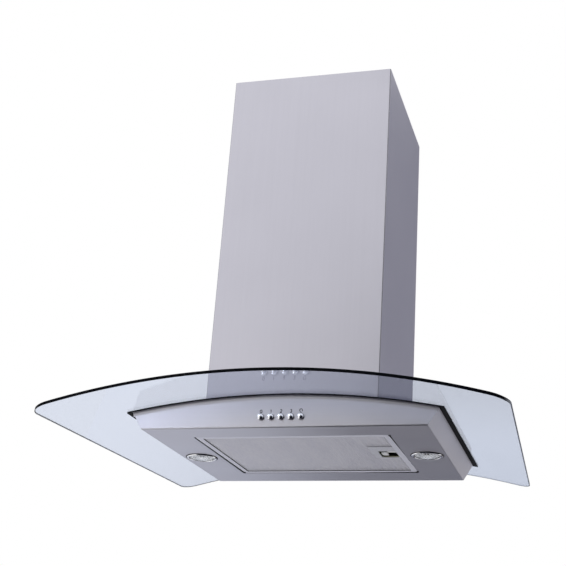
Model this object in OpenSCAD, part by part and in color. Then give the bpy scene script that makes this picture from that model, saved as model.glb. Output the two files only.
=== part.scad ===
// Island range hood: a stainless tray under an arched glass canopy, hung from the ceiling by a
// telescopic frame inside two nested chimneys.
// Millimetres, +Z up, front towards -Y. The origin is the middle of the ceiling plate's top
// face, so the whole hood hangs below it. Pieces of the hood itself are drawn with z = 0 at its
// flat underside (see from_underside), which keeps their heights positive.

/* [Overall] */
// Height from the ceiling down to the flat underside, with the chimneys nested
overall_h = 818; // [800:1:860]
// Thickness of the stainless sheet of the tray and the chimneys
sheet = 0.8; // [0.7:0.1:1]
// How far the hood can be lowered from its nested position
drop_travel = 250; // [150:10:260]

/* [Glass canopy] */
// Width of the glass along its front edge, measured to the unrounded corners
glass_w = 904; // [860:4:940]
// How much narrower each side of the glass is at the back edge
glass_taper = 31; // [1:1:40]
// Depth of the glass
glass_d = 746; // [700:2:800]
// Distance of the glass's middle in front of the hood's middle
glass_y = 13; // [0:1:20]
// Thickness of the toughened glass
glass_t = 6; // [5:1:8]
// Bend radius of the glass, measured to its underside
arch_r = 1610; // [1550:10:1700]
// Height of the glass underside above the tray underside, at the crown
glass_z = 65; // [63:1:70]
// Corner radius at the front of the glass
glass_front_r = 34; // [20:1:50]
// Corner radius at the back of the glass
glass_back_r = 32; // [20:1:50]

/* [Tray] */
// Width of the flat underside
tray_w = 570; // [566:1:574]
// Width of the tray at its eaves, where the side walls meet the glass
tray_top_w = 611; // [606:1:616]
// Depth of the tray
tray_d = 468; // [464:2:480]
// Outside radius of the folded bottom edges
fold_r = 2.5; // [2:0.1:4]
// Thickness of the rubber gasket between tray and glass
gasket_t = 2; // [2:0.5:4]
// How far the gasket stands out beyond the tray's ends
gasket_lip = 11; // [6:1:14]
// How far the gasket stands out beyond the tray's front and back
gasket_nose = 8; // [4:1:12]

/* [Grease filter] */
// Width of the filter opening
filter_w = 400; // [396:1:402]
// Depth of the filter opening
filter_d = 320; // [316:1:322]
// Distance of the filter's middle in front of the tray's middle
filter_y = 8; // [6:1:10]
// Width of the filter frame's rim
rim_w = 13; // [12:1:14]
// Height of the filter frame
filter_h = 9; // [9:1:11]

/* [Lamps] */
// Distance of each lamp from the middle of the hood
lamp_x = 244; // [242:1:246]
// How far the domed bezel stands below the underside
bezel_h = 2.5; // [2:0.1:3]

/* [Buttons] */
// Distance between neighbouring buttons
button_pitch = 20; // [18:1:21]
// Height of the row above the underside
button_z = 21; // [19:1:23]
// Radius of a button cap
button_r = 6.2; // [5.6:0.1:6.4]
// How far a cap stands out of the panel
button_out = 8; // [7:0.5:9]
// Travel of a button
button_travel = 3; // [2:0.5:3.5]

/* [Chimney] */
// Outside width and depth of the lower chimney
chimney_w = 356; // [355.6:0.1:357]
// Bend radius of the chimney's upright corners
chimney_r = 2; // [1.5:0.1:3]

/* [Fan] */
// Outside radius of the impeller
impeller_r = 66; // [62:1:67]
// Number of impeller blades
blade_n = 32; // [20:1:36]
// Outside radius of the duct spigot
spigot_r = 74.5; // [74:0.1:75]
// Height of the duct spigot
spigot_h = 60; // [56:1:70]

/* [Hidden] */

STEEL = [0.78, 0.78, 0.80];
ZINC = [0.70, 0.71, 0.70];
BLACK = [0.10, 0.10, 0.11];
CHROME = [0.88, 0.88, 0.90];
ALLOY = [0.72, 0.72, 0.76];
GLASS = [0.80, 0.86, 0.92, 0.35];
PASSIVATED = [0.55, 0.54, 0.34];

$fn = 48;
arch_fn = 720;              // fine enough for thin bands of the long arch to stay true
gap = 0.1;                  // play between pieces that lie on each other
reach = 400;                // longer than anything that a through-cut has to clear
high = 120;                 // higher than the glass anywhere, and than the tray
under_deck = 30;            // lower than the deck: what stands on the arch starts here, then is trimmed
weld = 0.3;                 // how far pieces that are welded or made in one run into each other

// Fasteners: radii of their shanks and of the holes that they pass
bolt_r = 2.5;
bolt_hole_r = 2.7;
screw_r = 2;
screw_hole_r = 2.1;
small_screw_r = 1.5;
small_screw_hole_r = 1.6;
head_in = 4;                // a head rests on an arched face this far inwards of its shank

// The layers between tray and glass share one axis along Y. Radii of that stack:
deck_r = arch_r - gasket_t;             // top of the tray walls and of the deck plate
glass_top_r = arch_r + glass_t;
taper_angle = atan(glass_taper / glass_d);      // of the glass's side edges, in plan
arch_axis_z = glass_z - arch_r;

function arch_z(r, x) = arch_axis_z + sqrt(r * r - x * x);

// Height of a head that rests on the arched face r. The face falls away towards +X and -X, so
// the height depends on how far the head's place lies along X once it has been turned.
function head_seat(r, place, turn) = arch_z(r, place[turn % 180 == 0 ? 0 : 1] - head_in);

// Tray: its side walls lean outwards from the underside up to the eaves
tray_hw = tray_w / 2;
tray_hd = tray_d / 2;
eaves_z = arch_z(deck_r, tray_top_w / 2);
lean = atan((tray_top_w / 2 - tray_hw) / eaves_z);
fold_x = tray_hw - fold_r * (1 - sin(lean)) / cos(lean);   // axis of the side fold
lip_w = 10;                             // inward lip that the deck plate lies on
deck_opening = 147;                     // half the air opening in the deck plate
upstand_h = 12;                         // wall round the filter opening

// Telescopic frame of angle posts; corners are measured from the hood's middle
plate_t = 3;
plate_flange = 22;
plate_flange_t = 1.5;
plate_opening = 190;
cable_hole_r = 12;
ceiling_bolt = 130;                     // half the spacing of the ceiling bolts
ceiling_hole_r = 4;
post_t = 2;
post_leg = 25;
upper_corner = 168;
lower_corner = upper_corner - post_t - 0.4;
upper_post_l = 525;
lower_post_top = 600;
post_bolt_y = upper_corner - 14;
post_bolt_z = overall_h - plate_t - upper_post_l + 20;
slot_over = 8;                          // slot length to spare beyond the travel, each end
brace_h = 20;
foot_bolt = 157.3;                      // frame's feet are bolted down at (foot_bolt, foot_bolt)

// Chimneys
nest_gap = 2;                           // between the lower chimney and the upper one
seam = 0.6;                             // open seam behind the front sheet
return_w = 14;                          // bent edge of the front sheet
upper_chimney_w = chimney_w - 2 * (sheet + nest_gap);
upper_chimney_l = 687;
chimney_screw = [60, 78];               // sideways and height of the screws in the back wall
upper_screw = [60, -12];                // sideways and height of the screws in the plate's flange

// Glass fixings
cut_out = 169;                          // half the hole in the glass under the chimney
clamp_in = 161;                         // inner edge of the clamp strips
clamp_out = chimney_w / 2 - sheet - 0.4;
clamp_l = 200;
clamp_t = 2;
clamp_bolt = [60, 165];
clamp_upstand_z = glass_z + 20;

// Blower
box_half = 150;
box_top = 301;
box_t = 1;
box_flange = 10;
box_screw = [100, 155];
scroll_step = 8;                        // side of the square formed by the four arc centres
scroll_r = impeller_r + 6;              // radius of the scroll's first quarter
scroll_half_w = 52;
scroll_wall = 2;
scroll_lip = 6;
scroll_out = scroll_r + 3.5 * scroll_step;                 // outlet's outer wall from the axis
fan_y = -(scroll_out + scroll_step / 2) / 2;               // brings the outlet under the spigot
fan_z = 178;
inlet_r = 52;
mouth_r = 4;                            // rounding of the inlet's bell mouth
impeller_half_w = 48;
blade_inner_r = impeller_r - 12;
shaft_r = 4;
shaft_play = 0.05;
motor_r = 40;
motor_x = [-98, -38];                   // back and front of the motor
motor_bore = 22;
capacitor = [-122, 118];
capacitor_r = 15;
capacitor_stud_r = 4;

// Duct spigot and its two non-return flaps
spigot_t = 1.5;
spigot_flange_r = 90;
spigot_flange_t = 2;
spindle_z = box_top + 12;
spindle_r = 1.5;
flap_r = spigot_r - spigot_t - 1.5;
flap_t = 1.6;
flap_start = 3.6;                       // a blade begins clear of the other flap's knuckles
knuckle_r = 3;
knuckle_l = 16;

// Cable gland, above the box and below the hole in the ceiling plate
gland = [118, -110];
gland_bore_r = 4.5;
gland_thread_r = 8;

// Filter: a C-section rim that holds two fine meshes and a corrugated core
filter_gap = 1.5;
filter_z = 0.6;                         // underside of the filter above the hood's underside
rim_t = 1;
mesh_t = 0.8;
core_pitch = 10;
core_t = 0.5;
frame_w = filter_w - 2 * filter_gap;
frame_d = filter_d - 2 * filter_gap;
window_x = frame_w / 2 - rim_w;         // inner edge of the rim at the latch
tongue_y = 90;
tongue_w = 26;
tongue_l = 7;
latch_plate = [52, 92];
latch_plate_y = -18;                    // middle of the latch plate, from the filter's middle
pocket = [38, 54];
pocket_y = -2;
pocket_h = 13;
bolt_w = 14;
bolt_z = 6.2;                           // underside of the bolt above the hood's underside
bolt_t = 1.8;
bolt_catch = 2.4;                       // how far the bolt reaches over the tray's edge
latch_travel = 3.6;
slider_web = window_x - pocket[0] + 15; // left face of the slider's upright web

// Lamps
bezel_in = 27.9;
bezel_wall = 1;
lamp_hole_r = 30;
bezel_sleeve = 10;
lamp_top = 32;

// Terminal box and transformer, which stand on the tray behind the filter
electrics = [120, 196];

// Buttons
button_n = 5;
panel_y = -tray_hd;
cap_back = 6;                           // length of a cap behind the panel's face
button_dome_r = 8;
stem_r = 2.5;
stem_l = 15;
block_y = panel_y + sheet + 0.3;
block = [112, 28, 20];

// ---- Shared forms ---------------------------------------------------------------------------

// Draws its children with z = 0 at the flat underside of the hood
module from_underside() {
    translate([0, 0, -overall_h]) children();
}

// Repeats its children in all four quarters, mirrored
module in_quarters() {
    for (mx = [0, 1], my = [0, 1])
        mirror([mx, 0, 0]) mirror([0, my, 0]) children();
}

// Repeats its children on all four sides, turned
module on_sides() {
    for (turn = [0, 90, 180, 270]) rotate(turn) children();
}

// Full cylinder round the arch's axis
module arch_cylinder(r) {
    translate([0, 0, arch_axis_z])
        rotate([90, 0, 0])
            cylinder(r = r, h = 2.5 * reach, center = true, $fn = arch_fn);
}

// What its children hold between two radii of the arch
module arch_layer(r_low, r_high) {
    difference() {
        intersection() {
            children();
            arch_cylinder(r_high);
        }
        arch_cylinder(r_low);
    }
}

module round_rect(w, d, r) {
    square([w - 2 * r, d], center = true);
    square([w, d - 2 * r], center = true);
    for (x = [-1, 1], y = [-1, 1])
        translate([x * (w / 2 - r), y * (d / 2 - r)]) circle(r);
}

module round_block(w, d, r, z_low, z_high) {
    translate([0, 0, z_low]) linear_extrude(z_high - z_low) round_rect(w, d, r);
}

// Block centred on the Z axis
module block_between(w, d, z_low, z_high) {
    translate([-w / 2, -d / 2, z_low]) cube([w, d, z_high - z_low]);
}

module square_tube(outer, wall, z_low, z_high) {
    difference() {
        block_between(outer, outer, z_low, z_high);
        block_between(outer - 2 * wall, outer - 2 * wall, z_low - 1, z_high + 1);
    }
}

// Bolt along +Z: its hexagon head stands on z = 0 and its shank runs down
module hex_bolt(r, shank_l, head_h) {
    cylinder(r = 1.75 * r, h = head_h, $fn = 6);
    translate([0, 0, -shank_l]) cylinder(r = r, h = shank_l + weld);
}

module hex_nut(r, h) {
    cylinder(r = 1.75 * r, h = h, $fn = 6);
}

// Screw along +Z: its domed head stands on z = 0 and its shank runs down
module pan_screw(r, shank_l) {
    dome_r = 2.5 * r;
    intersection() {
        cylinder(r = 2 * r, h = r);
        translate([0, 0, r - dome_r]) sphere(dome_r);
    }
    translate([0, 0, -shank_l]) cylinder(r = r, h = shank_l + weld);
}

// Hole for a fastener, through a thin wall whose outer face is z = 0
module fastener_hole(r) {
    translate([0, 0, -8]) cylinder(r = r, h = 10);
}

// Coil spring along +X, of wire swept round a helix
module coil_spring(coil_r, wire_r, turns, l) {
    around = 6;
    steps = 12 * turns;
    points = [
        for (i = [0 : steps], k = [0 : around - 1])
            let (turn = 30 * i, side = 360 * k / around, r = coil_r + wire_r * cos(side))
                [l * i / steps + wire_r * sin(side), r * cos(turn), r * sin(turn)]
    ];
    walls = [
        for (i = [0 : steps - 1], k = [0 : around - 1])
            let (a = i * around + k, b = i * around + (k + 1) % around)
                [a, b, b + around, a + around]
    ];
    start = [for (k = [around - 1 : -1 : 0]) k];
    end = [for (k = [0 : around - 1]) steps * around + k];
    polyhedron(points, concat(walls, [start, end]));
}

// ---- Ceiling plate, upper posts and upper chimney -------------------------------------------

// Pressed plate that is bolted to the ceiling; its down-turned flange carries the upper chimney
module ceiling_plate() {
    outer = upper_chimney_w - 2 * sheet - 1;
    color(ZINC)
        difference() {
            union() {
                round_block(outer, outer, 3, -plate_t, 0);
                square_tube(outer, plate_flange_t, -plate_flange, -plate_t);
            }
            round_block(plate_opening, plate_opening, 20, -plate_t - 1, 1);
            in_quarters()
                translate([ceiling_bolt, ceiling_bolt, -plate_t - 1])
                    cylinder(r = ceiling_hole_r, h = plate_t + 2);
            translate([gland[0], gland[1], -plate_t - 1])
                cylinder(r = cable_hole_r, h = plate_t + 2);
            upper_screw_places() fastener_hole(small_screw_hole_r);
        }
}

// Places of the four screws through the upper chimney's sides; local +Z points outwards
module upper_screw_places() {
    for (side = [0, 180], y = [-1, 1])
        rotate(side)
            translate([upper_chimney_w / 2, y * upper_screw[0], upper_screw[1]])
                rotate([0, 90, 0]) children();
}

// One angle post whose outer corner is at (corner, corner)
module angle_post(corner, z_low, z_high) {
    h = z_high - z_low;
    translate([corner - post_leg, corner - post_t, z_low]) cube([post_leg, post_t, h]);
    translate([corner - post_t, corner - post_leg, z_low]) cube([post_t, post_leg, h]);
}

// Places of the bolts that join upper and lower posts; local +Z points outwards
module post_bolt_places() {
    in_quarters()
        translate([upper_corner, post_bolt_y, post_bolt_z])
            rotate([0, 90, 0]) children();
}

module upper_posts() {
    top = overall_h - plate_t;
    tab = post_leg - post_t;
    color(ZINC)
        from_underside()
            difference() {
                in_quarters() {
                    angle_post(upper_corner, top - upper_post_l, top);
                    translate([upper_corner - post_leg, upper_corner - post_leg, top - post_t])
                        cube([tab + 1, tab + 1, post_t]);
                }
                post_bolt_places()
                    translate([0, 0, -10]) cylinder(r = bolt_r + 0.1, h = 20);
            }
}

module post_bolts() {
    color(CHROME)
        from_underside()
            post_bolt_places() {
                hex_bolt(bolt_r, 9.4, 3.4);
                translate([0, 0, -8.4]) hex_nut(bolt_r, 3.8);
            }
}

// Rows of slots high in the side walls, which let air out when the hood recirculates
module vent_slots(y_side) {
    top = -60;
    rows = 6;
    pitch = 16;
    slot = [84, 6];
    for (row = [0 : rows - 1])
        translate([0, y_side * 80, top - pitch * row])
            rotate([0, 90, 0])
                linear_extrude(reach, center = true) {
                    square([slot[1], slot[0]], center = true);
                    for (end = [-1, 1])
                        translate([0, end * slot[0] / 2]) circle(slot[1] / 2, $fn = 24);
                }
}

// Half of the upper chimney: a U of sheet that meets its twin halfway along the sides
module upper_chimney_half(y_side) {
    color(STEEL)
        difference() {
            translate([0, 0, -1 - upper_chimney_l])
                linear_extrude(upper_chimney_l)
                    difference() {
                        round_rect(upper_chimney_w, upper_chimney_w, chimney_r);
                        round_rect(upper_chimney_w - 2 * sheet, upper_chimney_w - 2 * sheet,
                            chimney_r - sheet);
                        translate([0, -y_side * (reach / 2 - 0.2)])
                            square([2 * reach, reach], center = true);
                    }
            vent_slots(y_side);
            upper_screw_places() fastener_hole(small_screw_hole_r);
        }
}

module upper_chimney_screws() {
    color(CHROME) upper_screw_places() pan_screw(small_screw_r, 5);
}

// ---- Lower frame and lower chimney ----------------------------------------------------------

// Four slotted posts that slide inside the upper ones, braced at the top, with bolted feet
module lower_frame() {
    inner = lower_corner - post_t;
    color(ZINC)
        from_underside()
            difference() {
                union() {
                    difference() {
                        in_quarters() angle_post(lower_corner, under_deck, lower_post_top);
                        arch_cylinder(deck_r + gap);
                    }
                    square_tube(2 * (inner + weld), post_t, lower_post_top - brace_h,
                        lower_post_top);
                    arch_layer(deck_r + gap, deck_r + gap + post_t)
                        in_quarters() foot_plan();
                }
                post_slots();
                in_quarters()
                    translate([foot_bolt, foot_bolt, 0]) cylinder(r = bolt_hole_r, h = high);
            }
}

// L-shaped foot that keeps clear of the blower box's corner
module foot_plan() {
    difference() {
        translate([lower_corner - post_leg, lower_corner - post_leg, 0])
            cube([post_leg - 1, post_leg - 1, high]);
        translate([0, 0, -1]) cube([box_half + 1, box_half + 1, high + 2]);
    }
}

// Upright slots as long as the drop, with round ends
module post_slots() {
    w = bolt_r + 0.3;
    l = drop_travel + 2 * slot_over;
    in_quarters()
        translate([lower_corner - post_leg / 2, post_bolt_y, post_bolt_z - slot_over])
            rotate([90, 0, 90])
                linear_extrude(post_leg) {
                    translate([-w, 0]) square([2 * w, l]);
                    for (end = [0, l]) translate([0, end]) circle(w, $fn = 24);
                }
}

module frame_bolts() {
    seat = arch_z(deck_r + gap + post_t, foot_bolt - 5);
    color(CHROME)
        from_underside()
            in_quarters()
                translate([foot_bolt, foot_bolt, seat]) {
                    hex_bolt(bolt_r, 10, 3.5);
                    translate([0, 0, -9]) hex_nut(bolt_r, 4);
                }
}

// Trims a plan so that its bottom edge follows the top of the glass
module on_glass() {
    difference() {
        translate([0, 0, glass_z - 20]) linear_extrude(overall_h - 3 - glass_z + 20) children();
        arch_cylinder(glass_top_r + 0.4);
    }
}

// Front sheet, with a narrow return bent back just inside each side wall
module chimney_front() {
    inner = chimney_w - 2 * (2 * sheet + 0.2);
    half = chimney_w / 2;
    color(STEEL)
        from_underside()
            on_glass()
                difference() {
                    round_rect(chimney_w, chimney_w, chimney_r);
                    translate([0, sheet]) square([inner, chimney_w], center = true);
                    translate([-reach / 2, return_w - half]) square(reach);
                    for (side = [-1, 1])
                        translate([side * half, chimney_r - half + reach / 2])
                            square([2 * (sheet + 0.2), reach], center = true);
                }
}

// Three-sided shell: both side walls and the back
module chimney_shell() {
    front = chimney_r + seam - chimney_w / 2;
    color(STEEL)
        from_underside()
            difference() {
                on_glass()
                    difference() {
                        round_rect(chimney_w, chimney_w, chimney_r);
                        round_rect(chimney_w - 2 * sheet, chimney_w - 2 * sheet,
                            chimney_r - sheet);
                        translate([-reach / 2, front - reach]) square(reach);
                    }
                chimney_screw_places() fastener_hole(screw_hole_r);
            }
}

// Places of the two screws low in the back wall; local +Z points outwards
module chimney_screw_places() {
    for (side = [-1, 1])
        translate([side * chimney_screw[0], chimney_w / 2, chimney_screw[1]])
            rotate([-90, 0, 0]) children();
}

module chimney_screws() {
    color(CHROME) from_underside() chimney_screw_places() pan_screw(screw_r, 6);
}

// ---- Glass canopy and its fixings -----------------------------------------------------------

function glass_side(y) = glass_w / 2 - glass_taper * (y / glass_d + 0.5);

// Centre of a corner arc; y_end is -1 at the front and 1 at the back
function glass_corner(y_end, r) =
    let (y = y_end * (glass_d / 2 - r)) [glass_side(y) - r / cos(taper_angle), y];

// Right half of the outline, narrower at the back. The corner arcs stop a hair short of the
// edges, so that they meet them at a true corner.
module glass_half_plan() {
    hair = 0.01;
    front = glass_corner(-1, glass_front_r);
    back = glass_corner(1, glass_back_r);
    outwards = [cos(taper_angle), sin(taper_angle)];
    polygon([[0, -glass_d / 2], [front[0], -glass_d / 2], front + glass_front_r * outwards,
        back + glass_back_r * outwards, [back[0], glass_d / 2], [0, glass_d / 2]]);
    translate(front) circle(glass_front_r - hair, $fn = 96);
    translate(back) circle(glass_back_r - hair, $fn = 96);
}

// Toughened glass, bent to an arch, with a square hole under the chimney
module glass_canopy() {
    color(GLASS)
        from_underside()
            intersection() {
                translate([0, 0, -high])
                    linear_extrude(2 * high)
                        difference() {
                            translate([0, -glass_y])
                                for (side = [0, 1]) mirror([side, 0]) glass_half_plan();
                            round_rect(2 * cut_out, 2 * cut_out, 8);
                        }
                difference() {
                    arch_cylinder(glass_top_r);
                    arch_cylinder(arch_r);
                }
            }
}

// Soft black gasket that the glass lies on; it stands out round the tray like a drip edge
module glass_gasket() {
    color(BLACK)
        from_underside()
            arch_layer(deck_r + 0.02, arch_r - 0.02)
                difference() {
                    round_block(tray_top_w + 2 * gasket_lip, tray_d + 2 * gasket_nose, 3, 0, high);
                    round_block(tray_top_w - 2 * lip_w, tray_d - 2 * lip_w, 3, -1, high + 1);
                }
}

module cut_out_gasket() {
    color(BLACK)
        from_underside()
            arch_layer(deck_r + 0.02, arch_r - 0.02)
                difference() {
                    round_block(2 * cut_out + 20, 2 * cut_out + 20, 8, 0, high);
                    round_block(2 * cut_out + 2, 2 * cut_out + 2, 8, -1, high + 1);
                }
}

module clamp_bolt_places() {
    on_sides()
        for (side = [-1, 1])
            translate([side * clamp_bolt[0], clamp_bolt[1], 0]) children();
}

// Four angle strips inside the chimney: they press the glass down and locate the chimney
module glass_clamps() {
    upstand_t = 1.5;
    color(ZINC)
        from_underside()
            difference() {
                union() {
                    arch_layer(glass_top_r + gap, glass_top_r + gap + clamp_t)
                        on_sides()
                            translate([-clamp_l / 2, clamp_in, 0])
                                cube([clamp_l, clamp_out - clamp_in, high]);
                    difference() {
                        on_sides()
                            translate([-clamp_l / 2, clamp_out - upstand_t, under_deck])
                                cube([clamp_l, upstand_t, clamp_upstand_z - under_deck]);
                        arch_cylinder(glass_top_r + gap);
                    }
                }
                clamp_bolt_places() cylinder(r = bolt_hole_r, h = high);
                chimney_screw_places() fastener_hole(screw_hole_r);
            }
}

// Bushes between deck and clamps, a little lower than the glass so that it stays gripped
module clamp_bushes() {
    color(ZINC)
        from_underside()
            arch_layer(deck_r + gap, glass_top_r)
                clamp_bolt_places()
                    difference() {
                        cylinder(r = 3.6, h = high);
                        translate([0, 0, -1]) cylinder(r = 2.6, h = high + 2);
                    }
}

module clamp_bolts() {
    color(CHROME)
        from_underside()
            for (turn = [0, 90, 180, 270], side = [-1, 1])
                rotate(turn)
                    translate([side * clamp_bolt[0], clamp_bolt[1],
                            head_seat(glass_top_r + gap + clamp_t, clamp_bolt, turn)]) {
                        hex_bolt(bolt_r, 19, 3.5);
                        translate([0, 0, -18]) hex_nut(bolt_r, 4);
                    }
}

// ---- Tray -----------------------------------------------------------------------------------

// Section across the tray, shrunk by inset: flat underside, round folds, walls that lean out
module tray_section(inset) {
    r = fold_r - inset;
    rise = (high - fold_r + r * sin(lean)) / cos(lean);
    fold_end = [fold_x + r * cos(lean), fold_r - r * sin(lean)];
    wall_end = fold_end + rise * [sin(lean), cos(lean)];
    for (side = [0, 1])
        mirror([side, 0]) {
            polygon([[0, inset], [fold_x, inset], fold_end, wall_end, [0, high]]);
            translate([fold_x, fold_r]) circle(r);
        }
}

// Section along the tray, shrunk by inset: upright front and back panels
module panel_section(inset) {
    r = fold_r - inset;
    half = tray_hd - inset;
    translate([r - half, inset]) square([2 * (half - r), high]);
    translate([-half, fold_r]) square([2 * half, high]);
    for (end = [-1, 1]) translate([end * (half - r), fold_r]) circle(r);
}

// The tray's outline as a solid, open-ended upwards
module tray_solid(inset) {
    intersection() {
        rotate([90, 0, 0])
            linear_extrude(tray_d, center = true) tray_section(inset);
        rotate([90, 0, 90])
            linear_extrude(2 * reach, center = true) panel_section(inset);
    }
}

module tray_body() {
    color(STEEL)
        from_underside()
            difference() {
                union() {
                    difference() {
                        intersection() {
                            tray_solid(0);
                            arch_cylinder(deck_r);
                        }
                        tray_solid(sheet);
                    }
                    deck_lip();
                    filter_upstand();
                }
                translate([0, -filter_y, 0])
                    round_block(filter_w, filter_d, 2, -1, upstand_h + 1);
                filter_catches();
                lamp_places() translate([0, 0, -1]) cylinder(r = lamp_hole_r, h = 4);
                button_places() translate([0, 0, -3]) cylinder(r = button_r + 0.4, h = 6);
            }
}

// Lip folded inwards all round, just below the tops of the walls
module deck_lip() {
    arch_layer(deck_r - 2 * sheet - gap, deck_r - sheet - gap)
        difference() {
            tray_solid(sheet / 2);
            block_between(tray_top_w - 2 * lip_w, tray_d - 2 * lip_w, -1, high + 1);
        }
}

module filter_upstand() {
    translate([0, -filter_y, 0])
        difference() {
            round_block(filter_w + 2 * sheet, filter_d + 2 * sheet, 2 + sheet, sheet / 2,
                upstand_h);
            round_block(filter_w, filter_d, 2, 0, upstand_h + 1);
        }
}

// Cut-outs in the upstand: two notches for the filter's tongues and a slot for its bolt
module filter_catches() {
    for (side = [-1, 1])
        translate([-filter_w / 2 - 3, side * tongue_y - filter_y - tongue_w / 2 - 2, sheet])
            cube([6, tongue_w + 4, high]);
    translate([filter_w / 2 - 1, pocket_y - filter_y - bolt_w / 2 - 2, bolt_z - 1.5])
        cube([4, bolt_w + 4, bolt_t + 3]);
}

// Perforated deck that closes the tray and carries frame, blower and glass
module deck_plate() {
    color(ZINC)
        from_underside()
            difference() {
                arch_layer(deck_r - sheet, deck_r) tray_solid(sheet + 0.2);
                block_between(2 * deck_opening, 2 * deck_opening, 0, high);
                in_quarters()
                    translate([foot_bolt, foot_bolt, 0]) cylinder(r = bolt_hole_r, h = high);
                clamp_bolt_places() cylinder(r = bolt_hole_r, h = high);
                box_screw_places() cylinder(r = screw_hole_r, h = high);
            }
}

// ---- Blower box, scroll, motor and impeller -------------------------------------------------

module box_screw_places() {
    on_sides()
        for (side = [-1, 1])
            translate([side * box_screw[0], box_screw[1], 0]) children();
}

// Flanges along the deck, on the sides of the box that the turns name
module box_flanges(turns) {
    flange_l = 278;
    arch_layer(deck_r + gap, deck_r + gap + box_t)
        for (turn = turns)
            rotate(turn)
                translate([-flange_l / 2, box_half - 0.5, 0])
                    cube([flange_l, box_flange + 0.5, high]);
}

// Box over the deck's opening: the scroll draws from it and blows out through its top.
// Front, top and back are one folded sheet, open at both ends.
module blower_box() {
    color(ZINC)
        from_underside()
            difference() {
                union() {
                    difference() {
                        block_between(2 * box_half, 2 * box_half, under_deck, box_top);
                        block_between(reach, 2 * (box_half - box_t), 0, box_top - box_t);
                        arch_cylinder(deck_r + gap);
                    }
                    box_flanges([0, 180]);
                }
                translate([0, 0, box_top]) fastener_hole(spigot_r - 3);
                translate([gland[0], gland[1], box_top]) fastener_hole(gland_thread_r + 0.2);
                translate([capacitor[0], capacitor[1], box_top]) fastener_hole(capacitor_stud_r + 0.2);
                box_screw_places() cylinder(r = screw_hole_r, h = high);
                spigot_screw_places() fastener_hole(screw_hole_r);
            }
}

// End plates of the box, with a lip at each side that is spot-welded to front and back
module box_ends() {
    half_d = box_half - box_t - gap;
    lip = 12;
    color(ZINC)
        from_underside()
            difference() {
                union() {
                    difference() {
                        for (turn = [90, 270])
                            rotate(turn)
                                translate([-half_d, box_half - lip, under_deck])
                                    cube([2 * half_d, lip, box_top - box_t - gap - under_deck]);
                        block_between(2 * (box_half - box_t), 2 * (half_d - box_t), 0, box_top);
                        arch_cylinder(deck_r + gap);
                    }
                    box_flanges([90, 270]);
                }
                box_screw_places() cylinder(r = screw_hole_r, h = high);
            }
}

// Flange screws to the deck, and the screws of the spigot
module box_screws() {
    color(CHROME)
        from_underside() {
            for (turn = [0, 90, 180, 270], side = [-1, 1])
                rotate(turn)
                    translate([side * box_screw[0], box_screw[1],
                            head_seat(deck_r + gap + box_t, box_screw, turn)])
                        pan_screw(screw_r, 8);
            spigot_screw_places() translate([0, 0, spigot_flange_t]) pan_screw(screw_r, 8);
        }
}

// Puts a drawing of the fan's cross-section upright, with its axis along X through the fan
module on_fan_axis() {
    translate([0, fan_y, fan_z]) rotate([90, 0, 90]) children();
}

// Volute of four quarter circles whose radius grows by a step each quarter, then the outlet
module scroll_plan(grow, outlet_h) {
    h = scroll_step / 2;
    corners = [[-h, h], [-h, -h], [h, -h], [h, h]];
    for (q = [0 : 3])
        translate(corners[q])
            rotate(90 * q)
                intersection() {
                    circle(scroll_r + q * scroll_step + grow, $fn = 96);
                    square(reach);
                }
    square(scroll_step, center = true);
    translate([h - grow, h]) square([scroll_out - h + 2 * grow, outlet_h - h]);
}

// Half of the scroll: a side wall with a bell-mouthed inlet, and half of the volute's wall
module scroll_half(side) {
    outlet_h = box_top - box_t - 1 - fan_z;
    lip_t = 2;
    color(ALLOY)
        from_underside()
            on_fan_axis()
                mirror([0, 0, (1 - side) / 2])
                    difference() {
                        union() {
                            linear_extrude(scroll_half_w + scroll_wall)
                                scroll_plan(scroll_wall, outlet_h);
                            linear_extrude(lip_t + gap)
                                scroll_plan(scroll_wall + scroll_lip, outlet_h);
                        }
                        translate([0, 0, -1])
                            linear_extrude(scroll_half_w + 1) scroll_plan(0, reach);
                        cylinder(r = inlet_r + mouth_r, h = reach);
                        translate([0, 0, gap - 2 * reach]) cylinder(r = reach, h = 2 * reach);
                    }
    color(ALLOY)
        from_underside()
            on_fan_axis()
                mirror([0, 0, (1 - side) / 2])
                    bell_mouth();
}

// Quarter-round lip that leads the air into the impeller
module bell_mouth() {
    translate([0, 0, scroll_half_w + scroll_wall - mouth_r])
        rotate_extrude($fn = 96)
            translate([inlet_r + mouth_r, 0])
                intersection() {
                    difference() {
                        circle(mouth_r);
                        circle(mouth_r - 1.5);
                    }
                    translate([-mouth_r, 0]) square(mouth_r);
                }
}

// Squirrel-cage impeller: forward-curved blades between two rings, on a central disc
module impeller() {
    ring_t = 2;
    disc_t = 3;
    color(BLACK)
        from_underside()
            on_fan_axis()
                difference() {
                    union() {
                        linear_extrude(2 * impeller_half_w - 1, center = true)
                            for (i = [0 : blade_n - 1]) rotate(360 / blade_n * i) blade();
                        for (end = [-1, 1])
                            translate([0, 0, end * (impeller_half_w - ring_t / 2)])
                                linear_extrude(ring_t, center = true)
                                    difference() {
                                        circle(impeller_r, $fn = 96);
                                        circle(blade_inner_r - 0.5, $fn = 96);
                                    }
                        cylinder(r = blade_inner_r + 2.5, h = disc_t, center = true, $fn = 96);
                        cylinder(r = 10, h = 14, center = true);
                    }
                    cylinder(r = shaft_r + 0.02, h = 40, center = true);
                }
}

// One blade's section: a shallow arc across the cage, leaning forwards
module blade() {
    chord = impeller_r - blade_inner_r;
    arc_r = 0.9 * chord;
    translate([(impeller_r + blade_inner_r) / 2, 0])
        rotate(20)
            intersection() {
                translate([0, arc_r - 2])
                    difference() {
                        circle(arc_r + 0.5);
                        circle(arc_r - 0.5);
                    }
                square([chord - 0.6, 0.7 * chord], center = true);
            }
}

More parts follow.
